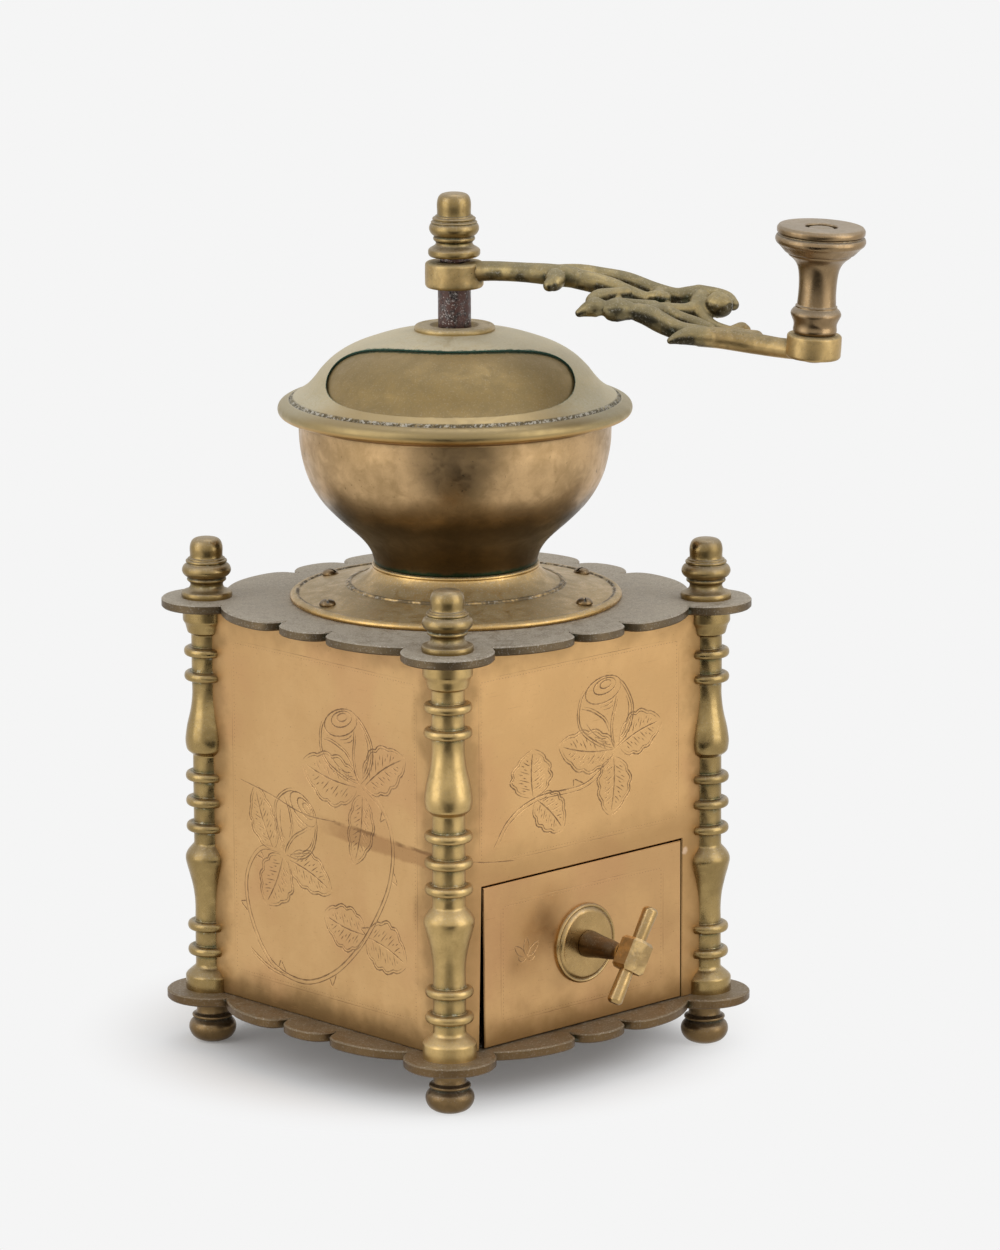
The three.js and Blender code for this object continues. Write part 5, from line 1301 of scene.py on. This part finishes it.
FRONT_STEM = [(13, 88), (0.2, 80.6), (-19.8, 79.9), (-32.2, 74.9), (-39.5, 66)]
FRONT_SCRATCH = [(-48.5, 64.1), (-39.8, 62.4), (-28.2, 61.1)]
SIDE_THORNS = 13  # points of the stem from one thorn to the next
FRONT_THORNS = 40  # more than it has, so that it carries one
PANEL_BORDER = (-42, 44, 11.5, 120)
FRONT_BORDER = (-45, 41.8, 61.8, 120.8)
DRAWER_BORDER = (-36, 35, 9.8, 48.2)
LEAF_LOBES = 4
LEAF_STEPS = 32  # along each edge
LEAF_VEINS = 4  # on each half
RING_STEPS = 14
STEM_WIDTH = 1.3
THORN_REACH = (3, 4.2)  # on the stem's right and on its left
THORN_START = 9
DASH_PITCH = 1.25
DASH_GAP = 0.95  # from the scribed line to the punched ones


def taper(line, width):
    """Left edge, right edge and middle of a graver's cut, pointed at both ends."""
    count = len(line)
    left, right, middle = [], [], [(line[0], 0.0)]
    for i, across in enumerate(lefts(line)[1:-1], 1):
        share = min(1.0, 0.35 + 3 * min(i, count - 1 - i) / count)
        half = width / 2 * share * (0.8 + 0.2 * math.sin(2.3 * i))
        middle.append((line[i], half))
        left.append(line[i] + across * half)
        right.append(line[i] - across * half)
    return left, right, [*middle, (line[-1], 0.0)]


def double(line, side=1):
    """A cut with a finer one beside it, as a graver leaves that goes over a line twice."""
    return [(line, OUTLINE_CUT), (beside(line, side * SECOND_CUT)[1:-1], FINE_CUT)]


def on_leaf(base, tip, width, t, side):
    """A point of a leaf: t from its base to its tip, side from -1 to 1 across it."""
    base, tip = Vector(base), Vector(tip)
    half = width / 2 * max(0.0, math.sin(math.pi * t ** 0.85)) ** 0.65
    bow = 0.05 * (tip - base).length * math.sin(math.pi * t)
    return base + (tip - base) * t + left_of(base, tip) * (side * half + bow)


def leaf(base, tip, width):
    """A lobed leaf with its midrib, pairs of forked veins and short hatches between them."""
    place = (base, tip, width)
    strokes = [(flow([on_leaf(*place, t, 0) for t in (0, 0.25, 0.5, 0.75, 0.93)], 4), OUTLINE_CUT)]
    steps = [k / LEAF_STEPS for k in range(LEAF_STEPS + 1)]
    for side in (-1, 1):
        lobes = [0.9 + 0.13 * abs(math.sin(math.pi * LEAF_LOBES * t)) for t in steps]
        strokes += double([on_leaf(*place, t, side * out) for t, out in zip(steps, lobes)], -side)
        for k in range(LEAF_VEINS):
            t = 0.14 + 0.17 * k
            vein = [on_leaf(*place, t + 0.14 * s, 0.66 * s * side) for s in (0.05, 0.35, 0.7, 1)]
            fork = [on_leaf(*place, t + 0.14 * s - 0.06, 0.7 * s * side) for s in (0.5, 0.7, 0.95)]
            hatch = [on_leaf(*place, t + 0.1 + 0.03 * s, (0.2 + 0.12 * s) * side) for s in range(3)]
            strokes += [(line, FINE_CUT) for line in (vein, fork, hatch)]
    return strokes


def ring(x, y, half_width, half_height):
    turns = [2 * math.pi * k / RING_STEPS for k in range(RING_STEPS + 1)]
    return [(x + half_width * math.cos(a), y + half_height * math.sin(a)) for a in turns]


def rose(x, y, height, turn):
    """A rose whose petals close round a ringed core."""
    spin = Matrix.Rotation(math.radians(turn), 2) * height

    def placed(line):
        return flow([spin @ Vector(p) + Vector((x, y)) for p in line], 4)

    strokes = []
    for line in ROSE_OUTLINES:
        strokes += double(placed(line))
    for at in ROSE_RINGS:
        strokes.append((placed(ring(*at)), OUTLINE_CUT))
    for line in ROSE_LINES:
        strokes.append((placed(line), FINE_CUT))
    return strokes


def thorny_stem(points, thorns):
    """A stem of two cuts with short hatches between them, and thorns on both sides."""
    line = flow(points, 8)
    other = beside(line, STEM_WIDTH)
    strokes = [(line, OUTLINE_CUT), (other[1:-1], FINE_CUT)]
    for i in range(2, len(line) - 2, 2):
        strokes.append(([line[i].lerp(other[i], 0.2), line[i + 1].lerp(other[i + 1], 0.8)], FINE_CUT))
    right, left = (line, beside(line, -THORN_REACH[0])), (other, beside(line, THORN_REACH[1]))
    for i in range(THORN_START, len(line) - THORN_START, thorns):
        near, far = right if i % 2 else left
        for root in (i - 1, i + 1):
            strokes.append(([near[root].lerp(far[i + 1], k / 4) for k in range(5)], OUTLINE_CUT))
    return strokes


def border(left, right, low, high):
    """A scribed line with a row of small punched dashes along its inside."""
    corners = [Vector(p) for p in ((left, low), (right, low), (right, high), (left, high))]
    strokes = []
    for a, b in zip(corners, [*corners[1:], corners[0]]):
        along = (b - a).normalized() * DASH_PITCH
        inwards = left_of(a, b) * DASH_GAP
        strokes.append(([a.lerp(b, 0.004 + 0.0992 * i) for i in range(11)], SCRIBED_CUT))
        for i in range(1, int((b - a).length / DASH_PITCH)):
            start = a + inwards + along * i
            strokes.append(([start, start + along * 0.3, start + along * 0.62], PUNCHED_CUT))
    return strokes


def sprig(x, y, size):
    """Three plain petals over two small curls."""
    strokes = []
    for turn in (-48, 0, 48):
        spin = Matrix.Rotation(math.radians(turn), 2) * size
        for side in (-1, 1):
            line = flow([(0, 0.08), (0.16 * side, 0.4), (0.13 * side, 0.75), (0, 1)], 4)
            strokes.append(([spin @ p + Vector((x, y)) for p in line], FINE_CUT))
    for side in (-1, 1):
        curl = [(0, 0), (0.3 * side, -0.12), (0.5 * side, 0.05), (0.4 * side, 0.2), (0.28 * side, 0.1)]
        strokes.append((flow([Vector(p) * size + Vector((x, y)) for p in curl], 5), FINE_CUT))
    return strokes


def spray(roses, leaves, stem_points, thorns):
    strokes = thorny_stem(stem_points, thorns)
    for place in roses:
        strokes += rose(*place)
    for place in leaves:
        strokes += leaf(*place)
    return strokes


def mirrored(strokes):
    return [([Vector((-p[0], p[1])) for p in line], width) for line, width in strokes]


def chain(indices, closed):
    """The links from each index to the next one."""
    return list(zip(indices, [*indices[1:], indices[0]] if closed else indices[1:]))


def inside_corner(outline, i, by):
    here, after = outline[i], outline[(i + 1) % len(outline)]
    return here + (left_of(outline[i - 1], here) + left_of(here, after)) * by


def engrave(outline, strokes):
    """A flat face with real V-shaped cuts: its points, its triangles and how deep each point lies."""
    count = len(outline)
    points = [*outline, *(inside_corner(outline, i, SHEET_EDGE) for i in range(count))]
    links = [*chain(range(count), True), *chain(range(count, 2 * count), True)]
    cuts = []
    for line, width in strokes:
        left, right, middle = taper(line, width)
        cuts.append(middle)
        start = len(points)
        end = start + len(middle) - 1
        points += [*(p for p, _ in middle), *left, *reversed(right)]
        turning = end + 1 + len(left)
        around = [start, *range(end + 1, turning), end, *range(turning, len(points))]
        links += [*chain(range(start, end + 1), False), *chain(around, True)]
    found, _, faces, sources, _, _ = geometry.delaunay_2d_cdt(points, links, [], 1, 1e-5)
    where = np.array([(p.x, p.y) for p in found])
    depth = np.zeros(len(found))
    for middle in cuts:
        sink(where, depth, middle)
    on_edge = [any(k < count for k in source) for source in sources]
    return found, faces, depth, on_edge


def sink(where, depth, middle):
    """Deepens the points that lie in one cut."""
    line = np.array([(p.x, p.y) for p, _ in middle])
    half = np.array([h for _, h in middle])
    near = np.all((where > line.min(0) - 1) & (where < line.max(0) + 1), axis=1).nonzero()[0]
    if not len(near):
        return
    at = where[near][:, None, :]
    start, along = line[:-1][None], (line[1:] - line[:-1])[None]
    share = np.clip(((at - start) * along).sum(2) / np.maximum((along ** 2).sum(2), 1e-9), 0, 1)
    away = np.linalg.norm(at - start - along * share[..., None], axis=2)
    reach = half[:-1] + (half[1:] - half[:-1]) * share
    deep = np.clip(1 - away / np.maximum(reach, 1e-4), 0, 1) * reach / 0.25
    depth[near] = np.maximum(depth[near], np.where(deep.max(1) < 0.02, 0, deep.max(1)))


def sheet_piece(name, outline, strokes, thickness, quarter, body, finish, node):
    """A sheet whose outer face is engraved, standing on one side of the box."""
    outline = [Vector(p) for p in outline]
    found, faces, depth, on_edge = engrave(outline, strokes)
    turn = Matrix.Rotation(quarter * math.pi / 2, 3, "Z")
    verts = []
    for p, deep, beveled in zip(found, depth, on_edge):
        below = SHEET_EDGE if beveled else deep * CUT_DEPTH
        verts.append(turn @ Vector((p.x, below - SHEET_PLANE, p.y)))
    verts += [turn @ Vector((p.x, thickness - SHEET_PLANE, p.y)) for p in outline]
    rim = [min(range(len(found)), key=lambda i: (found[i] - p).length) for p in outline]
    back = range(len(found), len(verts))
    faces = [tuple(f) for f in faces]
    faces += [(a, b, d, c) for (a, b), (c, d) in zip(chain(rim, True), chain(back, True))]
    made = loose(name, (verts, [*faces, tuple(back)]), weld=False)
    shown = [0.0 if beveled else min(deep, 1.0) for deep, beveled in zip(depth, on_edge)]
    cuts = made.data.attributes.new("cut", "FLOAT", "POINT")
    cuts.data.foreach_set("value", [*shown, *[0.0] * len(outline)])
    finish_piece(made, body, finish, node, sharp=1)


SIDE_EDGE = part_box("front_panel")[1][0] / MM
PANEL_OUTLINE = [(-SIDE_EDGE, BOX_FLOOR), (SIDE_EDGE, BOX_FLOOR), (SIDE_EDGE, BOX_TOP), (-SIDE_EDGE, BOX_TOP)]
DRAWER_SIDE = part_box("drawer_face")[1][0] / MM
DRAWER_TOP = highest("drawer_face")
# The drawer hangs a little askew: its gap widens downwards on the left and is narrow above and on the right
MOUTH_LEFT = (DRAWER_SIDE + 2.3, DRAWER_SIDE + 1)
MOUTH_RIGHT = DRAWER_SIDE + 0.45
MOUTH_TOP = DRAWER_TOP + 0.5
FRONT_OUTLINE = [
    (-SIDE_EDGE, BOX_FLOOR), (-MOUTH_LEFT[0], BOX_FLOOR), (-MOUTH_LEFT[1], MOUTH_TOP),
    (MOUTH_RIGHT, MOUTH_TOP), (MOUTH_RIGHT, BOX_FLOOR), *PANEL_OUTLINE[1:],
]
DRAWER_OUTLINE = [
    (-DRAWER_SIDE, DRAWER_FLOOR), (DRAWER_SIDE, DRAWER_FLOOR), (DRAWER_SIDE, DRAWER_TOP),
    (-DRAWER_SIDE - 0.5, DRAWER_TOP),
]
SHEET = 1
DRAWER_FACE = 1.2
SPRIG = (-25, 29, 7)

side_spray = [*spray(SPRAY_ROSES, SPRAY_LEAVES, SPRAY_STEM, SIDE_THORNS), *double(flow(SPRAY_TAIL))]
front_spray = [*spray(FRONT_ROSES, FRONT_LEAVES, FRONT_STEM, FRONT_THORNS), (flow(FRONT_SCRATCH), FINE_CUT)]
left_spray = [*side_spray, (flow(SPRAY_SCRATCH), OUTLINE_CUT)]
PANELS = [
    ("front_panel", FRONT_OUTLINE, [*border(*FRONT_BORDER), *front_spray], FRONT_PANEL),
    ("right_panel", PANEL_OUTLINE, [*border(*PANEL_BORDER), *mirrored(side_spray)], PANEL),
    ("back_panel", PANEL_OUTLINE, [*border(*PANEL_BORDER), *side_spray], PANEL),
    ("left_panel", PANEL_OUTLINE, [*border(*PANEL_BORDER), *left_spray], LEFT_PANEL),
]
for quarter, (node, outline, strokes, finish) in enumerate(PANELS):
    sheet_piece("engraved_" + node, outline, strokes, SHEET, quarter, "frame", finish, node)
sheet_piece("engraved_drawer_face", DRAWER_OUTLINE, [*border(*DRAWER_BORDER), *sprig(*SPRIG)], DRAWER_FACE, 0,
            "drawer", DRAWER, "drawer_face")


# Drawer pull

AT_PULL = Matrix.Translation((0, -SHEET_PLANE, PULL_HEIGHT)) @ Matrix.Rotation(math.pi / 2, 4, "X")
ROSETTE_OUTLINE = [
    (2.1, 0), (12.7, 0), (12.8, 0.6, 0.3), (12.3, 1.3, 0.4), (11.8, 1.2, 0.2), (11.5, 0.9, 0.15),
    (11.1, 1.3, 0.2), (10.4, 1.75, 0.5), (2.1, 1.8),
]
PULL_REACH = 21.6
HUB_HALF = 4.7
HUB_LENGTH = 10.4
HUB_CHAMFER = 2.2
BAR_BORE = 2.47
BAR_HALF = 16.1
BAR_TURN = math.radians(-31)
ALONG_BAR = AT_PULL @ up(PULL_REACH) @ spun(BAR_TURN) @ Matrix.Rotation(-math.pi / 2, 4, "X")
STEM_NECK = PULL_REACH - HUB_HALF
PULL_STEM_OUTLINE = [
    (0, -6.4), (1.8, -6.4), (1.8, 1.8), (4.35, 1.8, 0.3), (4.3, 3, 0.6), (3.7, 6.5, 2),
    (3, STEM_NECK - 4, 2), (2.5, STEM_NECK - 1.8, 0.8), (2.7, STEM_NECK - 0.6, 0.4),
    (3.8, STEM_NECK + 0.3, 0.5), (3.8, STEM_NECK + 1), (0, STEM_NECK + 1),
]
BAR_OUTLINE = [
    (0, -BAR_HALF), (1.7, -BAR_HALF, 0.2), (2.5, 0.8 - BAR_HALF, 0.4), (2.2, -5, 3), (2.2, 5, 3),
    (2.5, BAR_HALF - 0.8, 0.4), (1.7, BAR_HALF, 0.2), (0, BAR_HALF),
]
piece("turned_rosette", turned(ROSETTE_OUTLINE, AT_PULL, ROUND, ring=True), "drawer", PULL,
      "drawer_rosette")


def make_pull():
    made = loose("turned_pull_stem", turned(PULL_STEM_OUTLINE, AT_PULL))
    half, flat = HUB_HALF, HUB_HALF - HUB_CHAMFER
    corners = [(flat, -half), (half, -flat), (half, flat), (flat, half)]
    corners += [(-x, -y) for x, y in corners]
    fuse(made, moved(prism(corners, -HUB_LENGTH / 2, HUB_LENGTH / 2, 1.0), ALONG_BAR))
    cut(made, moved(cylinder(BAR_BORE, -9, 9), ALONG_BAR))
    finish_piece(made, "drawer", STEM, "pull_stem", sharp=25)


make_pull()
piece("round_pull_bar", turned(BAR_OUTLINE, ALONG_BAR), "drawer", PULL, "pull_bar")


# Screws of the hopper foot

SCREW_CIRCLE = 46.5
SCREW_FACING = math.radians(226.9)
SCREW_SEAT = 2.4
SCREW_SIDES = 32
SLOT_HALF = 0.4
SLOT_FLOOR = 1.1
SCREW_OUTLINE = [
    (0, -9.4), (1.5, -9.4), (1.5, 0), (2.6, 0, 0.1), (2.65, 0.6, 0.5), (2, 1.6, 0.7), (0.8, 1.95, 0.5),
    (0, 1.95),
]


def make_screw(k):
    seat = Matrix.Translation((SCREW_CIRCLE, 0, DECK + SCREW_SEAT))
    place = spun(SCREW_FACING + k * math.pi / 3) @ seat @ spun(0.9 + 1.3 * k)
    made = loose("slotted_hopper_screw_%d" % (k + 1), turned(SCREW_OUTLINE, place, SCREW_SIDES))
    cut(made, moved(prism(rectangle(3, SLOT_HALF), SLOT_FLOOR, 3), place))
    finish_piece(made, "frame", FOOT, "hopper_screw_%d" % (k + 1))


for k in range(6):
    make_screw(k)


# Pieces that keep their CAD shape

CAD_FINISHES = {
    TRAY: ("drawer_tray",),
    CAST: ("inner_burr", "burr_housing", "shaft_guide", "lower_bridge"),
    STEEL: (
        "shutter_retainer", "burr_pin", "bridge_screw_left", "bridge_screw_right", "thrust_ball",
        "adjuster_screw", "adjuster_lock_nut", "pull_nut", "drawer_guide_right", "drawer_guide_left",
        "drawer_stop",
        *("tie_rod_" + corner for corner in CORNERS),
    ),
}
for finish, nodes in CAD_FINISHES.items():
    for node in nodes:
        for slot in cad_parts[node].material_slots:
            slot.material = finish
